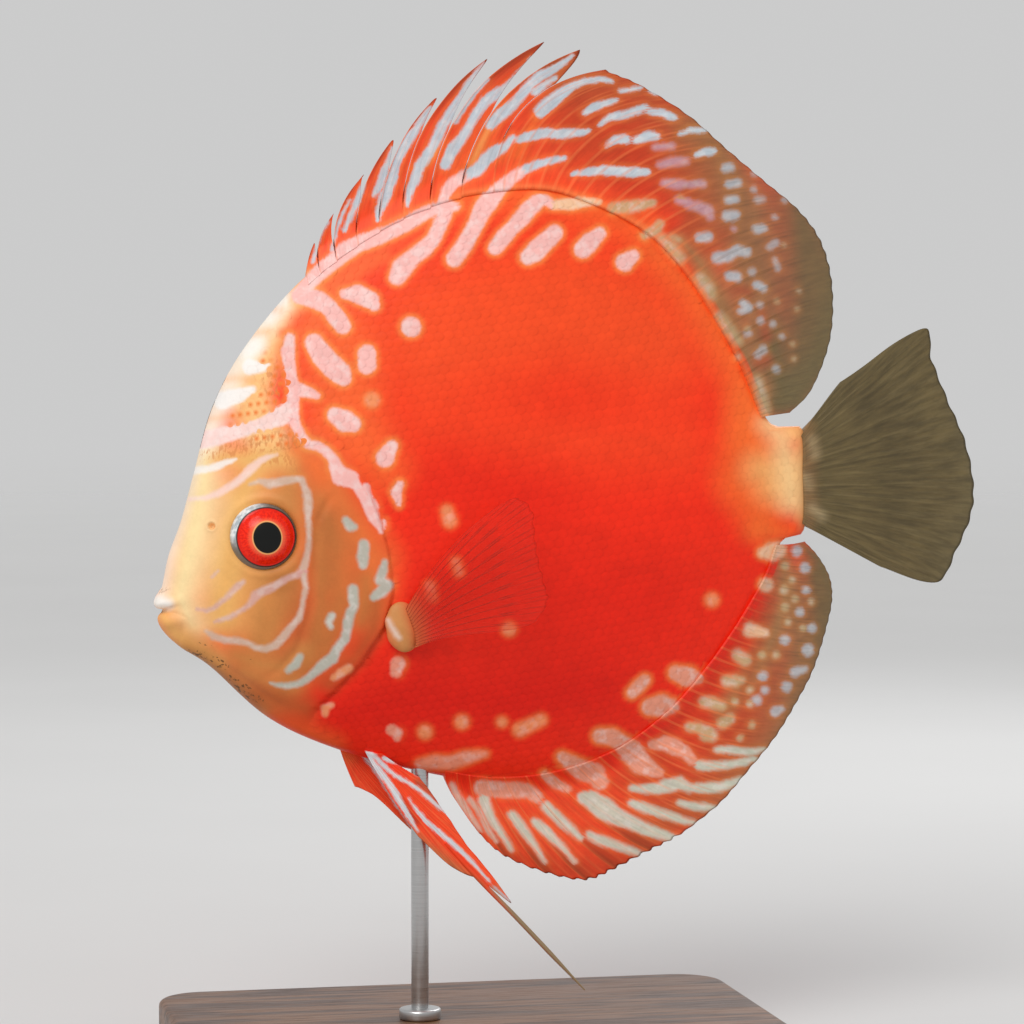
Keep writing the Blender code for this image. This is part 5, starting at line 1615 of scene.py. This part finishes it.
ANAL_SPINES = [
    (-16.0, -55.5, -13.6, -60.8), (-13.5, -56.0, -9.8, -68.2), (-11.0, -56.5, -5.2, -73.8),
    (-7.5, -57.5, 2.5, -78.5), (-4.0, -58.5, 10.5, -81.3), (0.5, -59.0, 17.0, -80.2),
    (5.5, -59.5, 24.5, -77.6), (11.5, -59.0, 31.5, -75.5),
]
ANAL_SOFT = [
    (18.0, -57.5, 38.5, -71.6), (24.5, -55.0, 45.0, -66.9), (30.5, -52.0, 51.5, -61.0),
    (36.5, -48.0, 57.0, -55.5), (42.0, -43.0, 61.2, -50.0), (47.0, -38.5, 64.8, -44.2),
    (51.0, -33.5, 67.6, -38.5), (54.5, -29.0, 69.4, -33.0), (57.5, -25.4, 69.4, -28.3),
    (59.2, -22.6, 67.6, -23.8), (60.1, -20.8, 65.2, -20.4),
]
ANAL_BOW = [-0.05]
SPINY_STEPS = [
    0, 0.03, 0.07, 0.12, 0.18, 0.25, 0.33, 0.41, 0.49, 0.57, 0.65, 0.72, 0.79, 0.85, 0.9, 0.935, 0.955,
    0.965, 0.985,
]
# The share of the next spine at which the web ends, in the slot before it, for each span
DORSAL_SLOTS = [0.21, 0.08, 0.42, 0.41, 0.45, 0.33, 0.43, 0.72]
SLOT_PLACE = 0.97
COMB_DEPTH = (0.045, 0.02)
SOFT_EDGE_DEPTH = 0.008
DORSAL_RAYS = 31
ANAL_RAYS = 29
# Where in the photo each fin starts to be clear, and where it is at its clearest
DORSAL_CLEAR = (640, 800)
ANAL_CLEAR = (700, 840)


def waved(x, z):
    """The slight waves of a fin's sheet, growing from nothing at the rim of the flesh."""
    beyond = np.hypot(x, z) / rim_radius(np.arctan2(z, x)) - 1
    return 0.45 * np.sin(x * 0.33 + z * 0.21) * smooth(beyond / 0.35)


def flap_reach(along):
    """The share of a ray that the web reaches in the dorsal's front: a curve down to each slot."""
    phase = along % 1
    slot = np.array(DORSAL_SLOTS)[np.minimum(along.astype(int), len(DORSAL_SLOTS) - 1)]
    return np.where(phase < SLOT_PLACE, 1 - (1 - slot) * (phase + phase**2) / 2, 1.0)


def comb_reach(along):
    """The share of a ray that the web reaches in the anal's front: three small teeth to a span."""
    deep, shallow = COMB_DEPTH
    depth = shallow + (deep - shallow) * smooth(1 - along / 5)
    return 1 - depth * np.sin(3 * math.pi * along) ** 2


def upright_fin(name, spines, soft, soft_rays, spiny_reach, bow, clear):
    """A spiny front and a soft rear in one sheet, clearer towards the tail."""
    rows = spines + soft
    spans = len(rows) - 1
    spiny = np.concatenate([np.array(SPINY_STEPS) + k for k in range(len(spines) - 1)])
    soft_count = np.arange(soft_rays * SOFT_STEPS + 1) / SOFT_STEPS
    along = np.concatenate([spiny, len(spines) - 1 + soft_count / soft_rays * (spans - len(spines) + 1)])
    phase = np.concatenate([spiny % 1, soft_count % 1])
    is_soft = along >= len(spines) - 1
    reach = np.where(is_soft, 1 - SOFT_EDGE_DEPTH * np.sin(math.pi * phase) ** 2, spiny_reach(along))
    out = FIN_HEIGHTS[None, :]
    spine = np.maximum(bell(phase, 0, 0.05), bell(phase, 1, 0.03))[:, None] * smooth((0.97 - out) / 0.4)
    strands = 0.4 * (0.5 + 0.5 * np.cos(phase * math.tau * 3))[:, None] * smooth((out - 0.1) / 0.3)
    soft_ray = branches(phase[:, None], out, 0.42, 0.24, 0.12) * (1 - 0.5 * out)
    ray = np.where(is_soft[:, None], soft_ray, np.maximum(spine, strands))
    raised = np.where(is_soft, RAY_HALF, SPINE_HALF)[:, None] - WEB_HALF
    half = (WEB_HALF + raised * ray * (1 - 0.6 * out)) * (1 - 0.55 * smooth((out - 0.8) / 0.2))
    everywhere = np.ones(ray.shape)
    rust = smooth((out - 0.45) / 0.4) * (1 - smooth(phase / 0.5))[:, None] * ~is_soft[:, None]
    values = {
        "ray": ray, "out": everywhere * out, "rust": rust,
        "across": everywhere * np.concatenate([spiny * 3, len(spines) * 3 + soft_count])[:, None],
    }
    fin = shape_fin(name, rows, along / spans, reach, half, bow, True, waved, ROOT_FLARE, values)
    places = paint_body(fin, None, FIN_GROUND)
    note(fin, "clear", smooth((places[:, 0] - clear[0]) / (clear[1] - clear[0])))
    return fin


dorsal = upright_fin(
    "dorsal_fin", DORSAL_SPINES, DORSAL_SOFT, DORSAL_RAYS, flap_reach, DORSAL_BOW, DORSAL_CLEAR
)
hand_over(dorsal, "dorsal_soft", "dorsal_fin_spiny", "dorsal_fin_soft")
anal = upright_fin("anal_fin", ANAL_SPINES, ANAL_SOFT, ANAL_RAYS, comb_reach, ANAL_BOW, ANAL_CLEAR)
hand_over(anal, "anal_soft", "anal_fin_spiny", "anal_fin_soft")

# %% [markdown]
# A fin is skin over rays: bright in front, where orange rays show through the paint, and smoky
# behind, where they are darker than the thin web. One material mixes both by how clear a place is.

# %% Fin material
RAY_ALPHA = 0.96
WEB_ALPHA = 0.8
STREAK_PUSH = 5.0


def fin_streaks(tree):
    """Noise drawn out along the rays, about 0 in the middle of its range."""
    lay = add_node(tree, "ShaderNodeCombineXYZ")
    join(tree, times(tree, kept(tree, "across")[1], 3.0), lay.inputs[0])
    join(tree, times(tree, kept(tree, "out")[1], 5.0), lay.inputs[1])
    return do_maths(tree, "SUBTRACT", noise_node(tree, lay.outputs[0], 1.0, 3.0, 0.6), 0.5)


def fin_material(name, ray_colour, ray_amount, dark_rays, tones=(0.88, 1.1)):
    """Painted web with lighter rays in front, clearer and darker-rayed where the fin is clear."""
    paint, tree, shader = new_material(name, 0.5, 0.05, 0.4, 0.25)
    streaks = fin_streaks(tree)
    colour, marked, place = place_pigment(tree, times(tree, streaks, STREAK_PUSH))
    ray = kept(tree, "ray")[1]
    clear = kept(tree, "clear")[1]
    rust = times(tree, kept(tree, "rust")[1], remap(tree, marked, 0.0, 0.5, 0.75, 0.0))
    colour = mix_colours(tree, rust, colour, "flap rust")
    fibres = noise_node(tree, place, 700.0, 4.0)
    strong = times(tree, remap(tree, ray, 0.15, 0.7), ray_amount)
    front = times(tree, strong, remap(tree, clear, 0.0, 0.7, 1.0, 0.0))
    rear = times(tree, strong, remap(tree, clear, 0.2, 0.8))
    colour = mix_colours(tree, front, colour, ray_colour)
    colour = mix_colours(tree, rear, colour, dark_rays)
    shade = as_grey(tree, remap(tree, streaks, -0.25, 0.25, *tones))
    join(tree, mix_colours(tree, 1.0, colour, shade, "MULTIPLY"), shader.inputs["Base Color"])
    web = remap(tree, clear, 0.0, 1.0, 1.0, WEB_ALPHA, False)
    thickness = remap(tree, ray, 0.2, 0.7)
    opaque = do_maths(tree, "MAXIMUM", web, times(tree, thickness, RAY_ALPHA))
    opaque = do_maths(tree, "MAXIMUM", opaque, times(tree, marked, RAY_ALPHA))
    join(tree, opaque, shader.inputs["Alpha"])
    add_bump(tree, shader, fibres, 0.4, 0.00006)
    return paint


upright_paint = fin_material("painted fin", "ray orange", 0.3, "ray brown")
dorsal.data.materials.append(upright_paint)
anal.data.materials.append(upright_paint)
print("fin nodes:", len(upright_paint.node_tree.nodes))

# %% [markdown]
# The tail fin is an open fan of soft rays, smoke grey with darker streaks between the rays. It
# comes out of the tail stalk, where the peach of the flank ends in a pale scalloped edge.

# %% The tail fin
CAUDAL = [
    (68.0, 1.2, 77.0, 10.6), (68.0, 0.2, 95.5, 19.0), (67.9, -1.6, 97.0, 12.5),
    (67.7, -4.0, 99.5, 3.5), (67.4, -6.5, 102.0, -5.0), (67.0, -9.0, 102.5, -13.5),
    (66.7, -11.5, 101.0, -20.5), (66.3, -13.8, 97.0, -27.5), (66.0, -15.6, 91.5, -33.0),
    (65.8, -16.8, 80.5, -28.0),
]
CAUDAL_RAYS = 16
CAUDAL_STEPS = 13
CAUDAL_FLARE = (2.4, 7.0)
CAUDAL_GROUND = [
    ("tail ray", 0.3, 30, [(880, 400, 26), (905, 470, 30), (900, 520, 24)]),
    ("fin smoke", 0.6, 26, [(960, 380, 10), (975, 480, 14), (950, 570, 14)]),
    ("fin tan", 0.7, 9, [(806, 425, 6), (808, 450, 8), (806, 478, 8), (808, 505, 8), (808, 530, 5)]),
    ("rim tan", 0.55, 7, [(812, 440, 4), (815, 454, 4)]),
    ("rim tan", 0.5, 7, [(806, 478, 4), (809, 486, 3)]),
    ("rim tan", 0.55, 7, [(812, 508, 4), (822, 516, 4)]),
]
CAUDAL_MARKS = [("lilac", 0.7, 2.0, [[(783, 422, 3)]])]


def fan_fin(name, rows, rays, steps, bow, on_rim, middle, flare, split=0.35, scallop=0.008):
    """A fin of soft rays alone."""
    count = np.arange(rays * steps + 1) / steps
    phase = (count % 1)[:, None]
    out = FIN_HEIGHTS[None, :]
    ray = branches(phase, out, split, 0.25, 0.13) * (1 - 0.4 * out)
    finer = branches((phase * 2) % 1, out, split + 0.3, 0.25, 0.2) * 0.5 * smooth((out - 0.5) / 0.2)
    ray = np.maximum(ray, finer)
    half = WEB_HALF + (RAY_HALF - WEB_HALF) * ray * (1 - 0.5 * out)
    half = half * (1 - 0.55 * smooth((out - 0.8) / 0.2))
    reach = 1 - scallop * np.sin(math.pi * phase[:, 0]) ** 2
    everywhere = np.ones(ray.shape)
    values = {"ray": ray, "out": everywhere * out, "across": everywhere * count[:, None]}
    return shape_fin(name, rows, count / rays, reach, half, bow, on_rim, middle, flare, values)


def paint_fin(fin, base, ground, markings, clear):
    """Notes the ground and the markings of a fin that has its own colours."""
    places = photo_place(points_of(fin))
    ground = airbrush(places, np.tile(linear(base), (len(places), 1)), ground)
    note_paint(fin, ground, *nearest_marking(places, markings))
    note(fin, "clear", np.full(len(places), clear))


caudal = fan_fin("caudal_tail_fin", CAUDAL, CAUDAL_RAYS, CAUDAL_STEPS, [0.0], True, waved, CAUDAL_FLARE)
paint_fin(caudal, "tail smoke", CAUDAL_GROUND, CAUDAL_MARKS, 0.6)
hand_over(caudal, "caudal", "caudal_fin")
caudal_paint = fin_material("painted tail fin", "tail ray", 0.28, "tail light", (0.68, 1.2))
caudal.data.materials.append(caudal_paint)

# %% [markdown]
# Each pectoral is a nearly clear fan with fine dark red rays. It stands out from the flank on a
# fleshy, cream-coloured lobe.

# %% The pectoral fins
PECTORAL = [
    (-20.5, -20.0, -6.5, -5.5), (-20.3, -21.0, 2.0, -1.0), (-20.0, -22.0, 5.5, -3.5),
    (-19.8, -23.0, 5.5, -8.5), (-19.6, -24.0, 5.5, -13.5), (-19.5, -25.0, 6.0, -18.5),
    (-19.5, -26.0, 6.0, -22.0), (-19.5, -26.8, 2.0, -26.0), (-19.8, -27.6, -7.5, -26.5),
]
PECTORAL_RAYS = 14
PECTORAL_STEPS = 9
PECTORAL_OUT = 13.6
PECTORAL_SPLAY = 0.34
PECTORAL_BOW = [0.04]
PECTORAL_FLARE = (0.9, 3.5)
PECTORAL_LOBE = (-21.3, 12.0, -23.4)
PECTORAL_LOBE_RADII = (3.5, 1.5, 5.0)
PECTORAL_GROUND = [
    ("lobe cream", 0.95, 14, [(390, 590, 12), (396, 620, 16), (406, 650, 14)]),
    ("pectoral root", 0.55, 8, [(412, 592, 5), (420, 615, 7), (424, 642, 6), (408, 662, 4)]),
]
PECTORAL_MARKS = [
    ("white", 0.6, 4.0, [[(388, 620, 1.0), (392, 628, 1.6), (396, 634, 1.8), (399, 638, 1.0)]]),
]


def model_pectoral(name, node, side):
    def middle(x, z):
        behind = x - PECTORAL[0][0]
        bend = 0.5 * np.sin(behind * 0.22 + z * 0.1) * smooth(behind / 12)
        return side * (PECTORAL_OUT + PECTORAL_SPLAY * behind - 0.5 + bend)

    fin = fan_fin(
        name, PECTORAL, PECTORAL_RAYS, PECTORAL_STEPS, PECTORAL_BOW, False, middle, PECTORAL_FLARE,
        split=0.45, scallop=0.012,
    )
    sheet = len(fin.data.vertices)
    x, y, z = PECTORAL_LOBE
    select_only()
    bpy.ops.mesh.primitive_uv_sphere_add(segments=48, ring_count=32, radius=1.0)
    lobe = just_made("lobe")
    ball = points_of(lobe)
    folds = 1 + 0.035 * np.cos(8 * ball[:, 2] + 3 * ball[:, 0]) * (1 - ball[:, 2] ** 2)
    place = ball * np.array(PECTORAL_LOBE_RADII) * folds[:, None] + (x, side * y, z)
    set_points(lobe, to_world(place))
    face_outwards(lobe)
    select_only(fin, lobe)
    bpy.ops.object.join()
    fleshy = np.arange(len(fin.data.vertices)) >= sheet
    note(fin, "flesh", fleshy.astype(float))
    paint_fin(fin, "pectoral web", PECTORAL_GROUND, PECTORAL_MARKS, 1.0)
    hand_over(fin, "pectoral", node)
    return fin


pectorals = [
    model_pectoral("pectoral_left", "pectoral_fin_left", -1),
    model_pectoral("pectoral_right", "pectoral_fin_right", 1),
]

# %% [markdown]
# The web of a pectoral is almost like glass. Real glass would bend what lies behind it, so the web
# is paint that lets most of the light through, and only its rays and its lobe are opaque.

# %% Pectoral material
pectoral_paint, tree, shader = new_material("clear fin", 0.5, 0.05, 0.4, 0.2)
colour, marked, place = place_pigment(tree)
ray = kept(tree, "ray")[1]
out = kept(tree, "out")[1]
flesh = kept(tree, "flesh")[1]
line = remap(tree, ray, 0.35, 0.75)
line = times(tree, line, remap(tree, flesh, 0.0, 1.0, 0.8, 0.0, False))
colour = mix_colours(tree, line, colour, "pectoral ray")
join(tree, colour, shader.inputs["Base Color"])
web = remap(tree, out, 0.02, 0.3, 0.7, 0.18)
opaque = do_maths(tree, "MAXIMUM", web, times(tree, line, 0.85))
opaque = do_maths(tree, "MAXIMUM", opaque, flesh)
join(tree, opaque, shader.inputs["Alpha"])
add_bump(tree, shader, noise_node(tree, place, 900.0, 3.0), 0.3, 0.00005)
for fin in pectorals:
    fin.data.materials.append(pectoral_paint)
print("pectoral nodes:", len(tree.nodes))

# %% [markdown]
# The pelvic fins hang from the belly as two narrow red blades with ice-white streaks, each row
# of tips following the ragged edge of its fan. The left one has a long thread as well, which is
# a bevelled curve that runs on in line with its rays.

# %% The pelvic fins
PELVIC_LEFT = [
    (-30.3, -48.8, -22.8, -66.1), (-29.9, -48.9, -16.9, -73.4), (-29.5, -49.0, -11.3, -77.2),
    (-29.1, -49.1, -6.1, -82.4), (-28.7, -49.2, -10.3, -74.3), (-28.3, -49.3, -13.3, -69.4),
    (-27.9, -49.4, -15.8, -64.1), (-27.5, -49.5, -17.1, -61.6), (-27.0, -49.6, -19.0, -57.6),
    (-26.4, -49.6, -20.8, -54.5),
]
PELVIC_RIGHT = [
    (-34.8, -47.0, -32.9, -55.2), (-34.2, -47.3, -28.7, -58.3), (-33.6, -47.6, -20.8, -68.1),
    (-33.0, -47.9, -9.1, -79.2), (-32.4, -48.1, -12.2, -73.1), (-31.8, -48.3, -16.3, -65.6),
    (-31.0, -48.5, -20.6, -58.2), (-30.2, -48.7, -24.0, -54.0),
]
PELVIC_RAYS = 12
PELVIC_STEPS = 9
PELVIC_OUT = 2.9
PELVIC_SPREAD = 0.05
PELVIC_HEIGHT = -47.0
PELVIC_BOW = [-0.02]
PELVIC_SINK = 1.6
PELVIC_FLARE = (0.7, 3.0)
FILAMENT = [(-17.5, -68.2), (-12.0, -76.5), (-6.0, -84.8), (0.0, -93.4), (6.1, -102.2)]
FILAMENT_RADIUS = 0.5
FILAMENT_POINTS = 40
PELVIC_GROUND = [
    ("flank red", 0.9, 10, [(372, 752, 12), (400, 760, 12)]),
    ("gill orange", 0.6, 8, [(340, 752, 6), (352, 760, 8)]),
    ("pelvic deep", 0.8, 5, [(398, 796, 2), (408, 812, 3), (416, 822, 3)]),
    ("pelvic shade", 0.7, 6, [(418, 782, 3), (430, 790, 5), (442, 804, 5)]),
    ("pelvic tan", 0.85, 6, [(404, 826, 3), (430, 848, 4), (456, 868, 4), (482, 886, 3)]),
    ("filament", 0.95, 5, [(494, 890, 3), (520, 920, 5), (555, 957, 5), (600, 1004, 5)]),
    ("ray orange", 0.8, 1.5, [(497, 884, 0.5), (526, 916, 0.5), (560, 954, 0.5), (578, 976, 0.2)]),
]
PELVIC_MARKS = [
    ("pale ice", 0.97, 1.0, [
        [(369, 755, 5)],
        [(369, 757, 3.5), (374, 764, 3), (381, 773, 3), (390, 785, 3.5), (398, 798, 3), (405, 810, 2.5),
         (412, 821, 2), (418, 832, 1)],
        [(375, 757, 2.5), (384, 766, 2), (395, 775, 2.2), (407, 782, 2), (420, 790, 2), (432, 801, 1.8),
         (445, 812, 1)], [(384, 758, 2), (394, 761, 2.2), (405, 765, 2.2), (413, 770, 1.8), (420, 776, 1)],
        [(408, 798, 1), (416, 809, 1.6), (425, 820, 2), (440, 833, 2.4), (455, 845, 2.4), (465, 855, 2),
         (475, 865, 1.8), (484, 876, 1.2), (490, 882, 0.8)],
    ]),
    ("ice", 0.85, 1.2, [
        [(339, 764, 1), (344, 771, 2), (349, 778, 2.4), (354, 785, 1.4)],
        [(494, 887, 0.8), (503, 895, 0.9), (512, 903, 0.6)],
    ]),
]


def model_pelvic(name, node, side, rays, thread=None):
    rows = []
    for row in rays:
        root, tip = np.array(row[:2]), np.array(row[2:])
        rows.append((*(root - (tip - root) / np.linalg.norm(tip - root) * PELVIC_SINK), *tip))

    def middle(x, z):
        return side * (PELVIC_OUT - PELVIC_SPREAD * (z - PELVIC_HEIGHT))

    fin = fan_fin(
        name, rows, PELVIC_RAYS, PELVIC_STEPS, PELVIC_BOW, False, middle, PELVIC_FLARE,
        split=0.5, scallop=0.01,
    )
    if thread:
        read = spline(thread, np.linspace(0, 1, FILAMENT_POINTS))
        drawn = bpy.data.curves.new("thread", "CURVE")
        drawn.dimensions = "3D"
        drawn.bevel_depth = FILAMENT_RADIUS * MM
        drawn.bevel_resolution = 3
        drawn.use_fill_caps = True
        line = drawn.splines.new("POLY")
        line.points.add(FILAMENT_POINTS - 1)
        places = to_world(np.stack([read[:, 0], middle(read[:, 0], read[:, 1]), read[:, 1]], axis=1))
        for index, (point, place) in enumerate(zip(line.points, places)):
            point.co = (*place, 1.0)
            point.radius = 1.0 - 0.75 * float(smooth((index / FILAMENT_POINTS - 0.7) / 0.3))
        curve = bpy.data.objects.new("thread", drawn)
        bpy.context.scene.collection.objects.link(curve)
        select_only(curve)
        bpy.ops.object.convert(target="MESH")
        bpy.ops.object.shade_smooth()
        select_only(fin, curve)
        bpy.ops.object.join()
    paint_fin(fin, "pelvic red", PELVIC_GROUND, PELVIC_MARKS, 0.0)
    hand_over(fin, "pelvic", node)
    fin.data.materials.append(pelvic_paint)
    return fin


pelvic_paint = fin_material("painted pelvic fin", "ray orange", 0.3, "ray brown")
model_pelvic("pelvic_left", "pelvic_fin_left", -1, PELVIC_LEFT, FILAMENT)
model_pelvic("pelvic_right", "pelvic_fin_right", 1, PELVIC_RIGHT)

# %% [markdown]
# The stand is what a collection would use: a slab of oiled walnut with rounded corners and one
# rod of brushed steel that ends in a socket in the belly, with a small collar at its foot.

# %% The stand
BASE_CORNER = 10.0
BASE_BEVEL = 1.2
COLLAR_RADIUS = 4.2
COLLAR_HEIGHT = 2.2
ROD_SINK = 1.0
ROD_BEVEL = 0.15
COLLAR_BEVEL = 0.5


def round_off(piece, width, segments):
    select_only(piece)
    rounded = piece.modifiers.new("rounded", "BEVEL")
    rounded.width = width * MM
    rounded.segments = segments
    rounded.limit_method = "ANGLE"
    bpy.ops.object.modifier_apply(modifier=rounded.name)


base_low, base_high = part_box("stand_base")
base_size = base_high - base_low
select_only()
bpy.ops.mesh.primitive_cube_add(size=1.0, location=(base_low + base_high) / 2)
base = bpy.context.object
base.scale = base_size
base = just_made("wooden_base")
bpy.ops.object.mode_set(mode="EDIT")
bpy.ops.mesh.select_mode(type="EDGE")
bpy.ops.mesh.select_all(action="DESELECT")
bpy.ops.object.mode_set(mode="OBJECT")
for edge in base.data.edges:
    ends = [base.data.vertices[k].co for k in edge.vertices]
    edge.select = abs(ends[0].z - ends[1].z) > MM
bpy.ops.object.mode_set(mode="EDIT")
bpy.ops.mesh.bevel(offset=BASE_CORNER * MM, segments=16, affect="EDGES")
bpy.ops.object.mode_set(mode="OBJECT")
round_off(base, BASE_BEVEL, 5)
bpy.ops.object.shade_smooth_by_angle(angle=math.radians(35))
hand_over(base, "stand_wood", "stand_base")

rod_low, rod_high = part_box("stand_rod")
rod_middle = (rod_low + rod_high) / 2
rod_radius = (rod_high.x - rod_low.x) / 2
select_only()
bpy.ops.mesh.primitive_cylinder_add(
    vertices=64, radius=rod_radius, depth=rod_high.z - base_high.z + ROD_SINK * MM,
    location=(rod_middle.x, rod_middle.y, (rod_high.z + base_high.z - ROD_SINK * MM) / 2),
)
rod = just_made("steel_rod")
bpy.ops.mesh.primitive_cylinder_add(
    vertices=64, radius=COLLAR_RADIUS * MM, depth=COLLAR_HEIGHT * MM,
    location=(rod_middle.x, rod_middle.y, base_high.z + COLLAR_HEIGHT / 2 * MM),
)
collar = just_made("steel_collar")
round_off(rod, ROD_BEVEL, 3)
round_off(collar, COLLAR_BEVEL, 3)
select_only(rod, collar)
bpy.ops.object.join()
bpy.ops.object.shade_smooth_by_angle(angle=math.radians(35))
hand_over(rod, "stand_steel", "stand_rod")

# %% [markdown]
# Walnut shows dark rings cut lengthwise and fine open pores: noise drawn out along the slab. The
# rod was brushed on a lathe, so its scratches run round it: noise squeezed along its length.

# %% Walnut and steel
wood, tree, shader = new_material("oiled walnut", 0.42, 0.15, 0.3, 0.4)
along = own_place(tree, (6.0, 70.0, 70.0))
bands = noise_node(tree, along, 1.6, 4.0, 0.6)
rings = remap(tree, do_maths(tree, "PINGPONG", times(tree, bands, 9.0), 1.0), 0.1, 0.95)
fibre = noise_node(tree, along, 14.0, 5.0, 0.7)
colour = mix_colours(tree, rings, "walnut light", "walnut dark")
colour = mix_colours(tree, remap(tree, fibre, 0.56, 0.7, 0.0, 0.65), colour, "walnut pore")
join(tree, colour, shader.inputs["Base Color"])
join(tree, remap(tree, fibre, 0.4, 0.7, 0.38, 0.56), shader.inputs["Roughness"])
add_bump(tree, shader, fibre, 0.5, 0.00012)
base.data.materials.append(wood)

steel, tree, shader = new_material("brushed steel", 0.28)
shader.inputs["Metallic"].default_value = 1.0
scratches = noise_node(tree, own_place(tree, (60.0, 60.0, 3000.0)), 1.0, 3.0)
join(tree, as_grey(tree, remap(tree, scratches, 0.3, 0.7, 0.5, 0.58)), shader.inputs["Base Color"])
join(tree, remap(tree, scratches, 0.3, 0.7, 0.27, 0.36), shader.inputs["Roughness"])
add_bump(tree, shader, scratches, 0.1, 0.00002)
rod.data.materials.append(steel)
print("walnut nodes:", len(wood.node_tree.nodes), "steel nodes:", len(steel.node_tree.nodes))

# %% [markdown]
# The stage is plain and pale. A wide floor fades into an even background before it ends, so no
# horizon shows, and it is as bright as the background where the light falls on it. A broad sun
# from the upper left lights it evenly, and two soft lamps give the fish its highlights.

# %% Stage
FLOOR_RADIUS = 4.0
# The shares of the radius at which the floor is gone and still whole
FLOOR_FADE = (0.9, 0.12)
BACKGROUND = 0.6
FLOOR_GREY = 0.66

select_only()
bpy.ops.mesh.primitive_circle_add(vertices=96, radius=FLOOR_RADIUS, fill_type="NGON")
floor = just_made("floor")
paper, tree, shader = new_material("pale paper", 0.8, 0.0, 0.2, 0.1)
place = own_place(tree)
grain = remap(tree, noise_node(tree, place, 6.0), 0.3, 0.7, 0.98, 1.0)
join(tree, as_grey(tree, times(tree, grain, FLOOR_GREY)), shader.inputs["Base Color"])
from_centre = add_node(tree, "ShaderNodeVectorMath", operation="LENGTH")
join(tree, place, from_centre.inputs[0])
gone, whole = (FLOOR_RADIUS * share for share in FLOOR_FADE)
fade = remap(tree, from_centre.outputs["Value"], gone, whole)
join(tree, fade, shader.inputs["Alpha"])
floor.data.materials.append(paper)

world = bpy.data.worlds.new("soft studio")
bpy.context.scene.world = world
world.use_nodes = True
world.node_tree.nodes["Background"].inputs["Color"].default_value = (*[BACKGROUND] * 3, 1.0)
world.node_tree.nodes["Background"].inputs["Strength"].default_value = 1.0


def aim(lamp, location, target):
    lamp.rotation_euler = (Vector(target) - Vector(location)).to_track_quat("-Z", "Y").to_euler()


def soft_light(name, location, target, size, power, colour=(1.0, 1.0, 1.0)):
    bpy.ops.object.light_add(type="AREA", location=location)
    lamp = bpy.context.object
    lamp.name = name
    aim(lamp, location, target)
    lamp.data.shape = "DISK"
    lamp.data.size = size
    lamp.data.energy = power
    lamp.data.color = colour


SUN_PLACE = (-0.9, -1.3, 1.5)
bpy.ops.object.light_add(type="SUN", location=SUN_PLACE)
sun = bpy.context.object
sun.name = "broad sun"
aim(sun, SUN_PLACE, CAMERA_TARGET)
sun.data.energy = 1.2
sun.data.angle = math.radians(40)
sun.data.color = (1.0, 0.985, 0.96)
soft_light("key", (-0.45, -0.6, 0.65), CAMERA_TARGET, 0.35, 0.9, (1.0, 0.98, 0.95))
soft_light("rim", (0.35, 0.5, 0.5), CAMERA_TARGET, 0.4, 1.2)
bpy.context.scene.view_settings.view_transform = "Standard"

bpy.context.view_layer.update()
